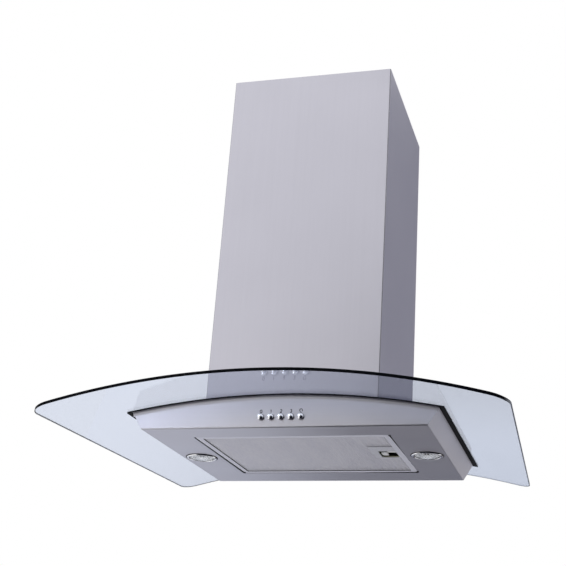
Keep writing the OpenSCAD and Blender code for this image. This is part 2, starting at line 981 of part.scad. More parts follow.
module motor_shaft() {
    color(CHROME)
        from_underside()
            on_fan_axis()
                translate([0, 0, motor_x[1] - motor_bore + 2])
                    cylinder(r = shaft_r, h = motor_bore - 2 - motor_x[1] + 8);
}

// Motor with stepped end bells and a bearing boss, open at the front for its shaft
module motor() {
    l = motor_x[1] - motor_x[0];
    bell = 8;
    bell_r = [motor_r - 2, motor_r - 8];
    boss_r = 12;
    vent = [9, 6, 4];
    color(ALLOY)
        from_underside()
            on_fan_axis()
                translate([0, 0, motor_x[0]])
                    difference() {
                        union() {
                            translate([0, 0, bell]) cylinder(r = motor_r, h = l - 2 * bell);
                            cylinder(r1 = bell_r[1], r2 = bell_r[0], h = bell);
                            translate([0, 0, l - bell])
                                cylinder(r1 = bell_r[0], r2 = bell_r[1], h = bell - 2);
                            cylinder(r = boss_r, h = l);
                        }
                        translate([0, 0, l - motor_bore])
                            cylinder(r = shaft_r + shaft_play, h = motor_bore + 1);
                        for (turn = [0 : 45 : 315])
                            rotate(turn)
                                translate([bell_r[1] - vent[0], -vent[1] / 2, l - vent[2]])
                                    cube(vent);
                    }
}

// Ring clamp round the motor with three arms that reach the scroll's side wall
module motor_bracket() {
    ring_low = motor_x[0] + 14;
    ring_w = 10;
    arm_out = 62;
    arm = [12, 2];          // width and thickness
    side_wall = -scroll_half_w - scroll_wall - gap;
    color(ZINC)
        from_underside()
            on_fan_axis() {
                translate([0, 0, ring_low])
                    difference() {
                        union() {
                            cylinder(r = motor_r + 2, h = ring_w);
                            for (turn = [60, 180, 300])
                                rotate(turn)
                                    translate([motor_r, -arm[0] / 2, 0])
                                        cube([arm_out - motor_r, arm[0], arm[1]]);
                        }
                        translate([0, 0, -1]) cylinder(r = motor_r + gap, h = ring_w + 2);
                    }
                for (turn = [60, 180, 300])
                    rotate(turn)
                        translate([arm_out - arm[1], -arm[0] / 2, ring_low])
                            cube([arm[1], arm[0], side_wall - ring_low]);
            }
}

// Run capacitor, hung by its stud from the top of the box
module motor_capacitor() {
    top = box_top - box_t;
    l = 60;
    color(ALLOY)
        from_underside()
            translate([capacitor[0], capacitor[1], 0]) {
                translate([0, 0, top - l]) cylinder(r = capacitor_r, h = l);
                translate([0, 0, top - 1]) cylinder(r = capacitor_stud_r, h = 10);
                translate([0, 0, box_top]) hex_nut(capacitor_stud_r, 4);
            }
}

// ---- Duct spigot and non-return flaps -------------------------------------------------------

module spigot_screw_places() {
    for (turn = [30 : 60 : 330])
        rotate(turn) translate([spigot_r + 8, 0, box_top]) children();
}

// Flanged collar for the duct; the flaps close on the ledge inside it
module duct_spigot() {
    ledge_t = 2;
    inner_r = spigot_r - spigot_t;
    color(ALLOY)
        from_underside()
            difference() {
                union() {
                    translate([0, 0, box_top])
                        cylinder(r = spigot_flange_r, h = spigot_flange_t, $fn = 96);
                    translate([0, 0, box_top]) cylinder(r = spigot_r, h = spigot_h, $fn = 96);
                }
                difference() {
                    translate([0, 0, box_top - 1])
                        cylinder(r = inner_r, h = spigot_h + 2, $fn = 96);
                    translate([0, 0, spindle_z - flap_t / 2 - 1 - ledge_t])
                        cylinder(r = spigot_r, h = ledge_t, $fn = 96);
                }
                translate([0, 0, box_top - 1])
                    cylinder(r = inner_r - 2.5, h = spigot_h + 2, $fn = 96);
                translate([0, 0, spindle_z])
                    rotate([90, 0, 0])
                        cylinder(r = spindle_r + 0.05, h = reach, center = true);
                spigot_screw_places() translate([0, 0, spigot_flange_t]) fastener_hole(screw_hole_r);
            }
}

module flap_spindle() {
    color(CHROME)
        from_underside()
            translate([0, 0, spindle_z])
                rotate([90, 0, 0])
                    cylinder(r = spindle_r, h = 2 * spigot_r - 0.4, center = true);
}

// Half disc hinged on the spindle; its two knuckles lie between those of the other flap
module flap(side) {
    starts = side < 0 ? [-56, 22] : [-38, 40];      // of its knuckles, along the spindle
    web = 4;
    color(BLACK)
        from_underside()
            translate([0, 0, spindle_z])
                difference() {
                    union() {
                        intersection() {
                            cylinder(r = flap_r, h = flap_t, center = true, $fn = 96);
                            translate([side * (flap_start + reach / 2), 0, 0])
                                cube([reach, reach, reach], center = true);
                        }
                        for (y = starts) {
                            translate([0, y + knuckle_l, 0])
                                rotate([90, 0, 0]) cylinder(r = knuckle_r, h = knuckle_l);
                            translate([side * knuckle_r - web / 2, y, -flap_t / 2])
                                cube([web, knuckle_l, flap_t]);
                        }
                    }
                    rotate([90, 0, 0])
                        cylinder(r = spindle_r + 0.06, h = reach, center = true);
                }
}

// ---- Electrical pieces ----------------------------------------------------------------------

// Gland for the supply cable, clamped in the top of the box by its locknut
module cable_gland() {
    nut_r = 12;
    cap_r = 9.5;
    color(BLACK)
        from_underside()
            translate([gland[0], gland[1], box_top])
                difference() {
                    union() {
                        translate([0, 0, -box_t - 4]) cylinder(r = nut_r, h = 4, $fn = 6);
                        translate([0, 0, -9]) cylinder(r = gland_thread_r, h = 10);
                        cylinder(r = nut_r, h = 5, $fn = 6);
                        translate([0, 0, 5]) cylinder(r = cap_r, h = 7);
                        translate([0, 0, 12]) cylinder(r1 = cap_r, r2 = gland_bore_r + 2, h = 5);
                    }
                    translate([0, 0, -10]) cylinder(r = gland_bore_r, h = 30);
                }
}

// Screw-down terminal box on the tray, behind the filter
module terminal_box() {
    size = [90, 46, 20];
    wall = 2;
    color(BLACK)
        from_underside()
            translate([-electrics[0], electrics[1], sheet + gap])
                difference() {
                    union() {
                        round_block(size[0], size[1], 4, 0, size[2]);
                        round_block(size[0] + 2, size[1] + 2, 5, size[2] - 5, size[2] + wall);
                    }
                    round_block(size[0] - 2 * wall, size[1] - 2 * wall, 2, wall, size[2]);
                    for (x = [-25, 0, 25])
                        translate([x, -size[1] / 2 - 2, size[2] / 2 - 2])
                            rotate([-90, 0, 0]) cylinder(r = 4, h = 6);
                }
}

// Lamp transformer with a screw ear at each end
module lamp_transformer() {
    size = [84, 40, 22];
    ear = 12;
    color(BLACK)
        from_underside()
            translate([electrics[0], electrics[1], sheet + gap])
                difference() {
                    union() {
                        round_block(size[0], size[1], 3, 0, size[2]);
                        round_block(size[0] + 2 * ear, 18, 4, 0, 3);
                    }
                    for (side = [-1, 1])
                        translate([side * (size[0] + ear) / 2, 0, -1]) cylinder(r = 2.2, h = 5);
                }
}

// ---- Grease filter --------------------------------------------------------------------------

// Draws its children with z = 0 at the filter's underside and x, y from its middle
module in_filter() {
    from_underside() translate([0, -filter_y, filter_z]) children();
}

// Channel rim folded round the meshes, with two tongues that hook over the tray
module filter_frame() {
    color(ALLOY)
        in_filter()
            difference() {
                union() {
                    difference() {
                        round_block(frame_w, frame_d, 7, 0, filter_h);
                        round_block(frame_w - 2 * rim_t, frame_d - 2 * rim_t, 6, rim_t,
                            filter_h - rim_t);
                        round_block(2 * window_x, frame_d - 2 * rim_w, 1, -1, filter_h + 1);
                    }
                    for (side = [-1, 1])
                        translate([-frame_w / 2 - tongue_l, side * tongue_y - tongue_w / 2, 0.5])
                            cube([tongue_l + 0.5, tongue_w, 1.5]);
                }
                bolt_way(frame_w / 2 - 3, frame_w / 2 + 3);
            }
}

// Space for the sliding bolt between two places along X, seen from the filter's underside
module bolt_way(x_low, x_high) {
    translate([x_low, pocket_y - bolt_w / 2 - 1, bolt_z - filter_z - 0.6])
        cube([x_high - x_low, bolt_w + 2, bolt_t + 1.2]);
}

// Keeps mesh and core clear of the latch's pocket and bolt
module latch_clearance() {
    translate([window_x - pocket[0] - 1, pocket_y - pocket[1] / 2 - 1, -1])
        cube([pocket[0] + 1.5, pocket[1] + 2, 2 * pocket_h]);
    bolt_way(window_x - 1, frame_w / 2);
}

module filter_mesh(z_low) {
    color(ALLOY)
        in_filter()
            difference() {
                round_block(frame_w - 3, frame_d - 3, 5, z_low, z_low + mesh_t);
                latch_clearance();
            }
}

// Corrugated core between the meshes: one zigzag sheet
module filter_mesh_core() {
    low = rim_t + gap + mesh_t + gap;
    rise = filter_h - 2 * low - core_t;
    count = 2 * floor((frame_w - 8) / core_pitch);
    ridge = [for (i = [0 : count]) [(i - count / 2) * core_pitch / 2, low + rise * (i % 2)]];
    color(ALLOY)
        in_filter()
            difference() {
                translate([0, (frame_d - 3) / 2, 0])
                    rotate([90, 0, 0])
                        linear_extrude(frame_d - 3)
                            polygon(concat(ridge,
                                [for (i = [count : -1 : 0]) ridge[i] + [0, core_t]]));
                latch_clearance();
            }
}

// Plate that frames the latch's pocket, flush with the rim
module latch_plate() {
    color(STEEL)
        in_filter()
            difference() {
                translate([window_x - latch_plate[0] / 2 - gap, latch_plate_y, 0])
                    round_block(latch_plate[0], latch_plate[1], 2, 0, rim_t);
                translate([window_x - pocket[0] / 2, pocket_y, 0])
                    round_block(pocket[0] - 2 * sheet, pocket[1] - 2 * sheet, 4, -1, 3);
            }
}

// Deep-drawn cup above the plate, for the fingertip and the slider
module latch_cup() {
    color(PASSIVATED)
        in_filter()
            translate([window_x - pocket[0] / 2 - gap, pocket_y, 0])
                difference() {
                    round_block(pocket[0], pocket[1], 4 + sheet, rim_t + 0.02, pocket_h);
                    round_block(pocket[0] - 2 * sheet, pocket[1] - 2 * sheet, 4, 0,
                        pocket_h - sheet);
                    translate([-window_x + pocket[0] / 2, -pocket_y, 0])
                        bolt_way(window_x - 4, window_x + 2);
                }
}

// Bolt and finger tab in one piece; pulling the tab to the left draws the bolt
module latch_slider() {
    end = filter_w / 2 + bolt_catch;
    web_t = 2;
    web_top = 10.5;
    tab_l = slider_web + web_t - (window_x - pocket[0] + sheet) - latch_travel - 0.3;
    tab = [tab_l, 24, 1.2];
    tab_z = 1;
    color(STEEL)
        in_filter()
            translate([0, pocket_y, 0]) {
                translate([slider_web, -bolt_w / 2, bolt_z - filter_z])
                    cube([end - slider_web, bolt_w, bolt_t]);
                translate([slider_web, -bolt_w / 2, tab_z])
                    cube([web_t, bolt_w, web_top - tab_z]);
                translate([slider_web + web_t, 0, tab_z])
                    intersection() {
                        round_block(2 * tab[0], tab[1], 5, 0, tab[2]);
                        translate([-reach, -reach / 2, -1]) cube([reach, reach, tab[2] + 2]);
                    }
            }
}

// Spring that pushes the bolt out, between the cup's wall and the slider's web
module latch_spring() {
    wire_r = 0.35;
    start = window_x - pocket[0] + sheet + wire_r + gap;
    color(CHROME)
        in_filter()
            translate([start, pocket_y, pocket_h - 5])
                coil_spring(1.8, wire_r, 6, slider_web - start - wire_r - gap);
}

// ---- Lamps ----------------------------------------------------------------------------------

module lamp_places(sides = [-1, 1]) {
    for (side = sides) translate([side * lamp_x, 0, 0]) children();
}

// Domed chrome ring below the tray, with a sleeve through it
module lamp_bezel(side) {
    dome_r = 3.7;
    color(CHROME)
        from_underside()
            lamp_places([side])
                rotate_extrude($fn = 96) {
                    intersection() {
                        translate([bezel_in + 1.5, dome_r - bezel_h]) circle(dome_r);
                        translate([0, -bezel_h - 1]) square([lamp_hole_r + 10, bezel_h + 1]);
                    }
                    translate([bezel_in, -0.5]) square([bezel_wall, bezel_sleeve + 0.5]);
                }
}

module lamp_lens(side) {
    color(GLASS)
        from_underside()
            lamp_places([side]) translate([0, 0, 0.02]) cylinder(r = bezel_in - gap, h = 2);
}

// Thin bright dish behind the lens, open at the top for the bulb
module lamp_reflector(side) {
    dish_r = 29.5;
    dish_z = -8.67;
    mouth_z = 2.3;
    neck_z = 19.4;
    color(CHROME)
        from_underside()
            lamp_places([side])
                rotate_extrude($fn = 96)
                    intersection() {
                        translate([0, dish_z])
                            difference() {
                                circle(dish_r, $fn = 96);
                                circle(dish_r - 0.6, $fn = 96);
                            }
                        translate([0, mouth_z]) square([bezel_in - gap, neck_z - mouth_z]);
                    }
}

// Capsule bulb: glass with a round tip, and its base in the can's lampholder
module lamp_bulb(side) {
    bulb_r = 4.5;
    tip_z = 10;
    base_r = 6;
    base_z = 20;
    color(GLASS)
        from_underside()
            lamp_places([side]) {
                translate([0, 0, tip_z]) sphere(bulb_r);
                translate([0, 0, tip_z]) cylinder(r = bulb_r, h = base_z - tip_z + 2);
                translate([0, 0, base_z]) cylinder(r = base_r, h = lamp_top - base_z - 1);
            }
}

module lamp_can(side) {
    color(ZINC)
        from_underside()
            lamp_places([side])
                difference() {
                    translate([0, 0, bezel_sleeve + 0.02])
                        cylinder(r = bezel_in + bezel_wall, h = lamp_top - bezel_sleeve);
                    cylinder(r = bezel_in, h = lamp_top - 0.9);
                }
}

// ---- Buttons --------------------------------------------------------------------------------

// Place of button i (from 0), or of all; local +Z points out of the front panel
module button_places(which = [0 : button_n - 1]) {
    for (i = which)
        translate([(i - (button_n - 1) / 2) * button_pitch, panel_y, button_z])
            rotate([90, 0, 0]) children();
}

module button(i) {
    skirt = sqrt(button_dome_r * button_dome_r - button_r * button_r);
    color(CHROME)
        from_underside()
            button_places([i]) {
                translate([0, 0, -cap_back])
                    cylinder(r = button_r, h = cap_back + button_out - button_dome_r + skirt);
                intersection() {
                    translate([0, 0, button_out - button_dome_r]) sphere(button_dome_r);
                    cylinder(r = button_r, h = button_out);
                }
                translate([0, 0, -cap_back - stem_l]) cylinder(r = stem_r, h = stem_l + 1);
            }
}

// Switch housing behind the panel: one well and one guide bore for each button
module switch_block() {
    well = cap_back + button_travel + 1;
    color(BLACK)
        from_underside()
            difference() {
                translate([-block[0] / 2, block_y, button_z - block[2] / 2]) cube(block);
                button_places() {
                    translate([0, 0, -well]) cylinder(r = button_r + 0.5, h = well);
                    translate([0, 0, -cap_back - stem_l - button_travel - 1])
                        cylinder(r = stem_r + 0.1, h = stem_l + button_travel);
                }
            }
}

// ---- Nodes ----------------------------------------------------------------------------------

ceiling_plate();
upper_posts();
post_bolts();
upper_chimney_half(-1);  // upper_chimney_front
upper_chimney_half(1);  // upper_chimney_rear
upper_chimney_screws();
lower_frame();
frame_bolts();
chimney_front();
chimney_shell();
chimney_screws();
glass_canopy();
glass_gasket();
cut_out_gasket();
glass_clamps();
clamp_bushes();
clamp_bolts();
tray_body();
deck_plate();
blower_box();
box_ends();
box_screws();
scroll_half(-1);  // scroll_left
scroll_half(1);  // scroll_right
motor();
motor_bracket();
motor_capacitor();
motor_shaft();
impeller();
duct_spigot();
flap_spindle();
flap(-1);  // flap_left
flap(1);  // flap_right
cable_gland();
terminal_box();
lamp_transformer();
filter_frame();
filter_mesh(rim_t + gap);  // filter_mesh_face
filter_mesh_core();
filter_mesh(filter_h - rim_t - gap - mesh_t);  // filter_mesh_back
latch_plate();
latch_cup();
latch_slider();
latch_spring();
lamp_bezel(-1);  // lamp_bezel_left
lamp_bezel(1);  // lamp_bezel_right
lamp_reflector(-1);  // lamp_reflector_left
lamp_reflector(1);  // lamp_reflector_right
lamp_lens(-1);  // lamp_lens_left
lamp_lens(1);  // lamp_lens_right
lamp_bulb(-1);  // lamp_bulb_left
lamp_bulb(1);  // lamp_bulb_right
lamp_can(-1);  // lamp_can_left
lamp_can(1);  // lamp_can_right
switch_block();
button(0);  // button_1
button(1);  // button_2
button(2);  // button_3
button(3);  // button_4
button(4);  // button_5
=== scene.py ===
"""Looks of an island range hood: a square steel chimney over an arched glass canopy, with a folded steel
tray under the glass that carries a mesh grease filter, two lamps and five push buttons."""

import math

import bmesh
import bpy
import numpy as np
from mathutils import Matrix, Vector


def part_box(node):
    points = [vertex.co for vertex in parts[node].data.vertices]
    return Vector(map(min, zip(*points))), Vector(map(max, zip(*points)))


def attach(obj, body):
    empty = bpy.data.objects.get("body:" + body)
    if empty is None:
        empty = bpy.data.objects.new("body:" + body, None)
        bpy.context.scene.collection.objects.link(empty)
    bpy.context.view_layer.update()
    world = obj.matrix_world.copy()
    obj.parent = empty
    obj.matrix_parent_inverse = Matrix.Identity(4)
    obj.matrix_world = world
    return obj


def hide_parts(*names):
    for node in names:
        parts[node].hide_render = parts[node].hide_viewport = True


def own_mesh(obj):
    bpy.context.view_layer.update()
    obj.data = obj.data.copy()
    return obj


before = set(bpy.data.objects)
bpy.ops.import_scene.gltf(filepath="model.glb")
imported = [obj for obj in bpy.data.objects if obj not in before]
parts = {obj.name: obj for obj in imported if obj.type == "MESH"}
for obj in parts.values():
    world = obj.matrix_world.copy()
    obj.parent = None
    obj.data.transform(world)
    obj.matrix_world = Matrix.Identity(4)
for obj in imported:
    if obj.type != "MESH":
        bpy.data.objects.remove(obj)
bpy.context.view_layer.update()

# ---- Chimney sheets ------------------------------------------------------------------------------
# The two upper half covers, the lower front sheet and its three-sided shell are 430 stainless sheet.
# The sheet is belt-brushed along its length before it is folded, which leaves fine scratches that run
# up the chimney, and it is wiped down once it is screwed together.


def add_sockets(group, inputs, outputs):
    """Names the sockets of a node group; inputs are (name, kind, value) and outputs (name, kind)."""
    for name, kind, value in inputs:
        made = group.interface.new_socket(name, in_out="INPUT", socket_type="NodeSocket" + kind)
        if value is not None:
            made.default_value = value
    for name, kind in outputs:
        group.interface.new_socket(name, in_out="OUTPUT", socket_type="NodeSocket" + kind)
    return group.nodes.new("NodeGroupInput"), group.nodes.new("NodeGroupOutput")


def brushed_grain():
    """Belt-brushing as a node group. Noise on stretched coordinates gives short scratches (Grain), the same
    noise at a tenth of the scale gives longer bands, and unstretched noise gives wiped patches (Wipe)."""
    group = bpy.data.node_groups.new("brushed_grain", "ShaderNodeTree")
    start, end = add_sockets(
        group,
        [("Stretched", "Vector", None), ("Place", "Vector", None), ("Bands", "Float", 0.35)],
        [("Grain", "Float"), ("Wipe", "Float")],
    )
    node, link = group.nodes.new, group.links.new
    scratch, coarse, band, mix, wipe = (
        node("ShaderNodeTexNoise"), node("ShaderNodeVectorMath"), node("ShaderNodeTexNoise"),
        node("ShaderNodeMix"), node("ShaderNodeTexNoise"),
    )
    scratch.inputs["Scale"].default_value = 1.0
    scratch.inputs["Detail"].default_value = 3.0
    coarse.operation = "SCALE"
    coarse.inputs["Scale"].default_value = 0.1
    band.inputs["Scale"].default_value = 1.0
    band.inputs["Detail"].default_value = 1.0
    wipe.inputs["Scale"].default_value = 7.0
    wipe.inputs["Detail"].default_value = 3.0
    link(start.outputs["Stretched"], scratch.inputs["Vector"])
    link(start.outputs["Stretched"], coarse.inputs[0])
    link(coarse.outputs[0], band.inputs["Vector"])
    link(start.outputs["Bands"], mix.inputs["Factor"])
    link(scratch.outputs["Fac"], mix.inputs["A"])
    link(band.outputs["Fac"], mix.inputs["B"])
    link(start.outputs["Place"], wipe.inputs["Vector"])
    link(mix.outputs["Result"], end.inputs["Grain"])
    link(wipe.outputs["Fac"], end.inputs["Wipe"])
    return group


grain_group = brushed_grain()


def fold_mask():
    """Folds of a box-shaped sheet as a node group: on a flat wall one part of the normal is 1 or -1, so Fold
    rises from 0 to 1 as the largest of the three falls from 0.98 to 0.85."""
    group = bpy.data.node_groups.new("fold_mask", "ShaderNodeTree")
    start, end = add_sockets(group, [("Normal", "Vector", None)], [("Fold", "Float")])
    node, link = group.nodes.new, group.links.new
    size, split, most, peak, fold = (
        node("ShaderNodeVectorMath"), node("ShaderNodeSeparateXYZ"), node("ShaderNodeMath"),
        node("ShaderNodeMath"), node("ShaderNodeMapRange"),
    )
    size.operation = "ABSOLUTE"
    most.operation = "MAXIMUM"
    peak.operation = "MAXIMUM"
    fold.inputs["From Min"].default_value = 0.98
    fold.inputs["From Max"].default_value = 0.85
    link(start.outputs["Normal"], size.inputs[0])
    link(size.outputs[0], split.inputs[0])
    link(split.outputs["X"], most.inputs[0])
    link(split.outputs["Y"], most.inputs[1])
    link(most.outputs[0], peak.inputs[0])
    link(split.outputs["Z"], peak.inputs[1])
    link(peak.outputs[0], fold.inputs["Value"])
    link(fold.outputs["Result"], end.inputs["Fold"])
    return group


fold_group = fold_mask()


def new_material(name):
    """A new material, with its nodes, the call that links them and its surface node."""
    material = bpy.data.materials.new(name)
    material.use_nodes = True
    tree = material.node_tree
    return material, tree.nodes, tree.links.new, tree.nodes["Principled BSDF"]


def brushed_metal(name, dark, light, scratches, rough, depth, fold=None, metallic=1.0):
    """Bare metal sheet. Grain mixes two near colours, grain and wipe move the roughness between two values,
    and grain stands up as a shallow bump. scratches is how many cross a metre along x, y and z. Where a
    fold's tone is given, the bends take it: a dark colour painted into the bends as painted shade.
    Anodising leaves a milky layer, so such sheet is less than fully metallic."""
    material, nodes, link, surface = new_material(name)
    surface.inputs["Metallic"].default_value = metallic
    place, stretch, grain = (
        nodes.new("ShaderNodeTexCoord"), nodes.new("ShaderNodeMapping"), nodes.new("ShaderNodeGroup"),
    )
    grain.node_tree = grain_group
    stretch.inputs["Scale"].default_value = scratches
    tone, gloss, both, bump = (
        nodes.new("ShaderNodeMix"), nodes.new("ShaderNodeMapRange"),
        nodes.new("ShaderNodeMath"), nodes.new("ShaderNodeBump"),
    )
    tone.data_type = "RGBA"
    tone.inputs[6].default_value = (*dark, 1.0)
    tone.inputs[7].default_value = (*light, 1.0)
    both.operation = "ADD"
    gloss.inputs["From Min"].default_value = 0.6
    gloss.inputs["From Max"].default_value = 1.4
    gloss.inputs["To Min"].default_value = rough[0]
    gloss.inputs["To Max"].default_value = rough[1]
    bump.inputs["Strength"].default_value = 0.5
    bump.inputs["Distance"].default_value = depth
    link(place.outputs["Object"], stretch.inputs["Vector"])
    link(stretch.outputs["Vector"], grain.inputs["Stretched"])
    link(place.outputs["Object"], grain.inputs["Place"])
    link(grain.outputs["Grain"], tone.inputs[0])
    link(tone.outputs[2], surface.inputs["Base Color"])
    if fold:
        facing, bend, shade = (
            nodes.new("ShaderNodeNewGeometry"), nodes.new("ShaderNodeGroup"), nodes.new("ShaderNodeMix"),
        )
        bend.node_tree = fold_group
        shade.data_type = "RGBA"
        shade.inputs[7].default_value = (*fold, 1.0)
        link(facing.outputs["Normal"], bend.inputs["Normal"])
        link(bend.outputs["Fold"], shade.inputs[0])
        link(tone.outputs[2], shade.inputs[6])
        link(shade.outputs[2], surface.inputs["Base Color"])
    link(grain.outputs["Grain"], both.inputs[0])
    link(grain.outputs["Wipe"], both.inputs[1])
    link(both.outputs[0], gloss.inputs["Value"])
    link(gloss.outputs["Result"], surface.inputs["Roughness"])
    link(grain.outputs["Grain"], bump.inputs["Height"])
    link(bump.outputs["Normal"], surface.inputs["Normal"])
    return material


def finish_parts(material, *names):
    """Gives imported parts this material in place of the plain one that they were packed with."""
    for name in names:
        data = parts[name].data
        data.materials.clear()
        data.materials.append(material)


steel_dark = (0.570, 0.562, 0.632)
steel_light = (0.630, 0.622, 0.695)
# The last colour is painted shade, a dark tone painted into the sheet's bends.
chimney_steel = brushed_metal(
    "chimney_steel", steel_dark, steel_light, (1500.0, 1500.0, 18.0), (0.30, 0.40), 0.00002,
    (0.20, 0.20, 0.23),
)
finish_parts(
    chimney_steel, "upper_chimney_front", "upper_chimney_rear", "chimney_front", "chimney_shell"
)

# ---- Ceiling plate, posts and inner frame --------------------------------------------------------
# Galvanised steel: a plate bolted to the ceiling, four posts that hang from it and the frame that carries
# the hood. The glass's clamps, the deck, the blower's box and the lamps' cans are of the same sheet. None
# of it is polished, so it keeps the soft spangle of the zinc bath.


def zinc_metal(name, dark, light, rough):
    """Galvanised sheet. Cells of about 6 mm, each with its own tone, mix two greys and two roughnesses."""
    material, nodes, link, surface = new_material(name)
    surface.inputs["Metallic"].default_value = 1.0
    place, cells, cell, tone, gloss = (
        nodes.new("ShaderNodeTexCoord"), nodes.new("ShaderNodeTexVoronoi"),
        nodes.new("ShaderNodeSeparateColor"), nodes.new("ShaderNodeMix"), nodes.new("ShaderNodeMapRange"),
    )
    cells.inputs["Scale"].default_value = 160.0
    tone.data_type = "RGBA"
    tone.inputs[6].default_value = (*dark, 1.0)
    tone.inputs[7].default_value = (*light, 1.0)
    gloss.inputs["To Min"].default_value = rough[0]
    gloss.inputs["To Max"].default_value = rough[1]
    link(place.outputs["Object"], cells.inputs["Vector"])
    link(cells.outputs["Color"], cell.inputs[0])
    link(cell.outputs[0], tone.inputs[0])
    link(cell.outputs[1], gloss.inputs["Value"])
    link(tone.outputs[2], surface.inputs["Base Color"])
    link(gloss.outputs["Result"], surface.inputs["Roughness"])
    return material


zinc = zinc_metal("zinc", (0.50, 0.52, 0.53), (0.62, 0.64, 0.65), (0.38, 0.52))
finish_parts(
    zinc, "ceiling_plate", "upper_posts", "lower_frame", "glass_clamps", "deck_plate", "blower_box",
    "box_ends", "motor_bracket", "lamp_can_left", "lamp_can_right",
)

# ---- Screws and bolts ----------------------------------------------------------------------------
# Hex bolts and pan screws in bright zinc plate. They are tumbled in the bath, so they are even all over
# and shinier than the sheet.


def uneven_gloss(nodes, link, surface, scale, rough, span=(0.0, 1.0)):
    """Noise of the given scale moves a surface's roughness between two values as it passes through span;
    the noise is returned for other uses."""
    place, noise, gloss = (
        nodes.new("ShaderNodeTexCoord"), nodes.new("ShaderNodeTexNoise"), nodes.new("ShaderNodeMapRange"),
    )
    noise.inputs["Scale"].default_value = scale
    gloss.inputs["From Min"].default_value = span[0]
    gloss.inputs["From Max"].default_value = span[1]
    gloss.inputs["To Min"].default_value = rough[0]
    gloss.inputs["To Max"].default_value = rough[1]
    link(place.outputs["Object"], noise.inputs["Vector"])
    link(noise.outputs["Fac"], gloss.inputs["Value"])
    link(gloss.outputs["Result"], surface.inputs["Roughness"])
    return noise


def plain_metal(name, colour, rough, speckle, metallic=1.0):
    """Small metal parts: noise at the given scale moves the roughness between two near values."""
    material, nodes, link, surface = new_material(name)
    surface.inputs["Base Color"].default_value = (*colour, 1.0)
    surface.inputs["Metallic"].default_value = metallic
    uneven_gloss(nodes, link, surface, speckle, rough, (0.3, 0.7))
    return material


bright_zinc = plain_metal("bright_zinc", (0.68, 0.69, 0.70), (0.18, 0.30), 220.0)
finish_parts(
    bright_zinc, "post_bolts", "upper_chimney_screws", "frame_bolts", "chimney_screws", "clamp_bolts",
    "box_screws",
)

# ---- Glass canopy --------------------------------------------------------------------------------
# One sheet of 6 mm toughened glass, bent to an arch, with round corners, a square hole for the chimney and
# ground edges. It lies on the tray and is clamped through the hole.

glass_low, glass_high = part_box("glass_canopy")
glass_radius = (1.610, 1.616)            # under and upper faces of the arch
glass_axis = glass_high.z - glass_radius[1]
glass_corners = ((0.452, 0.034), (0.421, 0.032))   # half width and corner radius, front and back
hole_half, hole_corner = 0.169, 0.008
ground_edge = 0.0007
side_steps, corner_steps, sheet_steps = 64, 14, 24
sheet_upright = 0.85                     # a face whose normal is less upright belongs to the edge


def rounded_outline(corners, radii, per_side, per_corner):
    """Points round a four-sided plan with round corners, anticlockwise. A corner's arc is tangent to both
    its sides: its centre lies on their bisector, radius / sin(half the corner) away, and its points turn
    evenly from one side's normal to the next. A side's points are evenly spaced between two arcs."""
    corners = np.asarray(corners, float)
    before = np.roll(corners, 1, 0) - corners
    after = np.roll(corners, -1, 0) - corners
    before /= np.linalg.norm(before, axis=1)[:, None]
    after /= np.linalg.norm(after, axis=1)[:, None]
    half = np.arccos((before * after).sum(1)) / 2
    middle = before + after
    middle /= np.linalg.norm(middle, axis=1)[:, None]
    radii = np.asarray(radii, float)
    centre = corners + middle * (radii / np.sin(half))[:, None]
    normal_in = np.stack([-before[:, 1], before[:, 0]], 1)
    normal_out = np.stack([after[:, 1], -after[:, 0]], 1)
    begin = np.arctan2(normal_in[:, 1], normal_in[:, 0])
    sweep = (np.arctan2(normal_out[:, 1], normal_out[:, 0]) - begin) % (2 * math.pi)
    angle = begin[:, None] + sweep[:, None] * np.linspace(0, 1, per_corner + 1)
    arc = centre[:, None] + radii[:, None, None] * np.stack([np.cos(angle), np.sin(angle)], -1)
    share = np.linspace(0, 1, per_side + 1)[1:-1, None]
    next_start = np.roll(arc[:, 0], -1, 0)
    side = arc[:, -1][:, None] * (1 - share) + next_start[:, None] * share
    return np.concatenate([arc, side], 1).reshape(-1, 2)


def skin(name, points, closed, material, smooth=30.0):
    """A mesh over a grid of points of shape (rows, columns, 3), in metres. Each cell is a four-sided face;
    closed says for each direction if the last line joins the first. Points that fall together, as at a
    pole, are merged, and edges sharper than smooth degrees stay crisp."""
    rows, columns = points.shape[:2]
    row, column = np.meshgrid(
        np.arange(rows if closed[0] else rows - 1), np.arange(columns if closed[1] else columns - 1),
        indexing="ij",
    )
    here, after = row * columns, (row + 1) % rows * columns
    beside = (column + 1) % columns
    faces = np.stack([here + column, after + column, after + beside, here + beside], -1)
    return joined(name, points.reshape(-1, 3), faces.reshape(-1, 4), material, smooth)


def joined(name, points, faces, material, smooth=30.0):
    """A piece from points and four-sided faces: doubles merged, normals turned outwards, edges sharper than
    smooth degrees crisp and the rest shaded smooth."""
    mesh = bpy.data.meshes.new(name)
    mesh.from_pydata(points.tolist(), [], faces.tolist())
    work = bmesh.new()
    work.from_mesh(mesh)
    bmesh.ops.remove_doubles(work, verts=work.verts, dist=1e-6)
    bmesh.ops.recalc_face_normals(work, faces=work.faces)
    limit = math.radians(smooth)
    for edge in work.edges:
        edge.smooth = len(edge.link_faces) == 2 and edge.calc_face_angle(0.0) < limit
    for face in work.faces:
        face.smooth = True
    work.to_mesh(mesh)
    work.free()
    mesh.materials.append(material)
    made = bpy.data.objects.new(name, mesh)
    bpy.context.scene.collection.objects.link(made)
    return made


def clear_glass(name, colour, ior, rough):
    """Clear solid glass of one tint; noise of a hand's size moves the roughness very slightly."""
    material, nodes, link, surface = new_material(name)
    surface.inputs["Base Color"].default_value = (*colour, 1.0)
    surface.inputs["Transmission Weight"].default_value = 1.0
    surface.inputs["IOR"].default_value = ior
    uneven_gloss(nodes, link, surface, 9.0, rough)
    return material


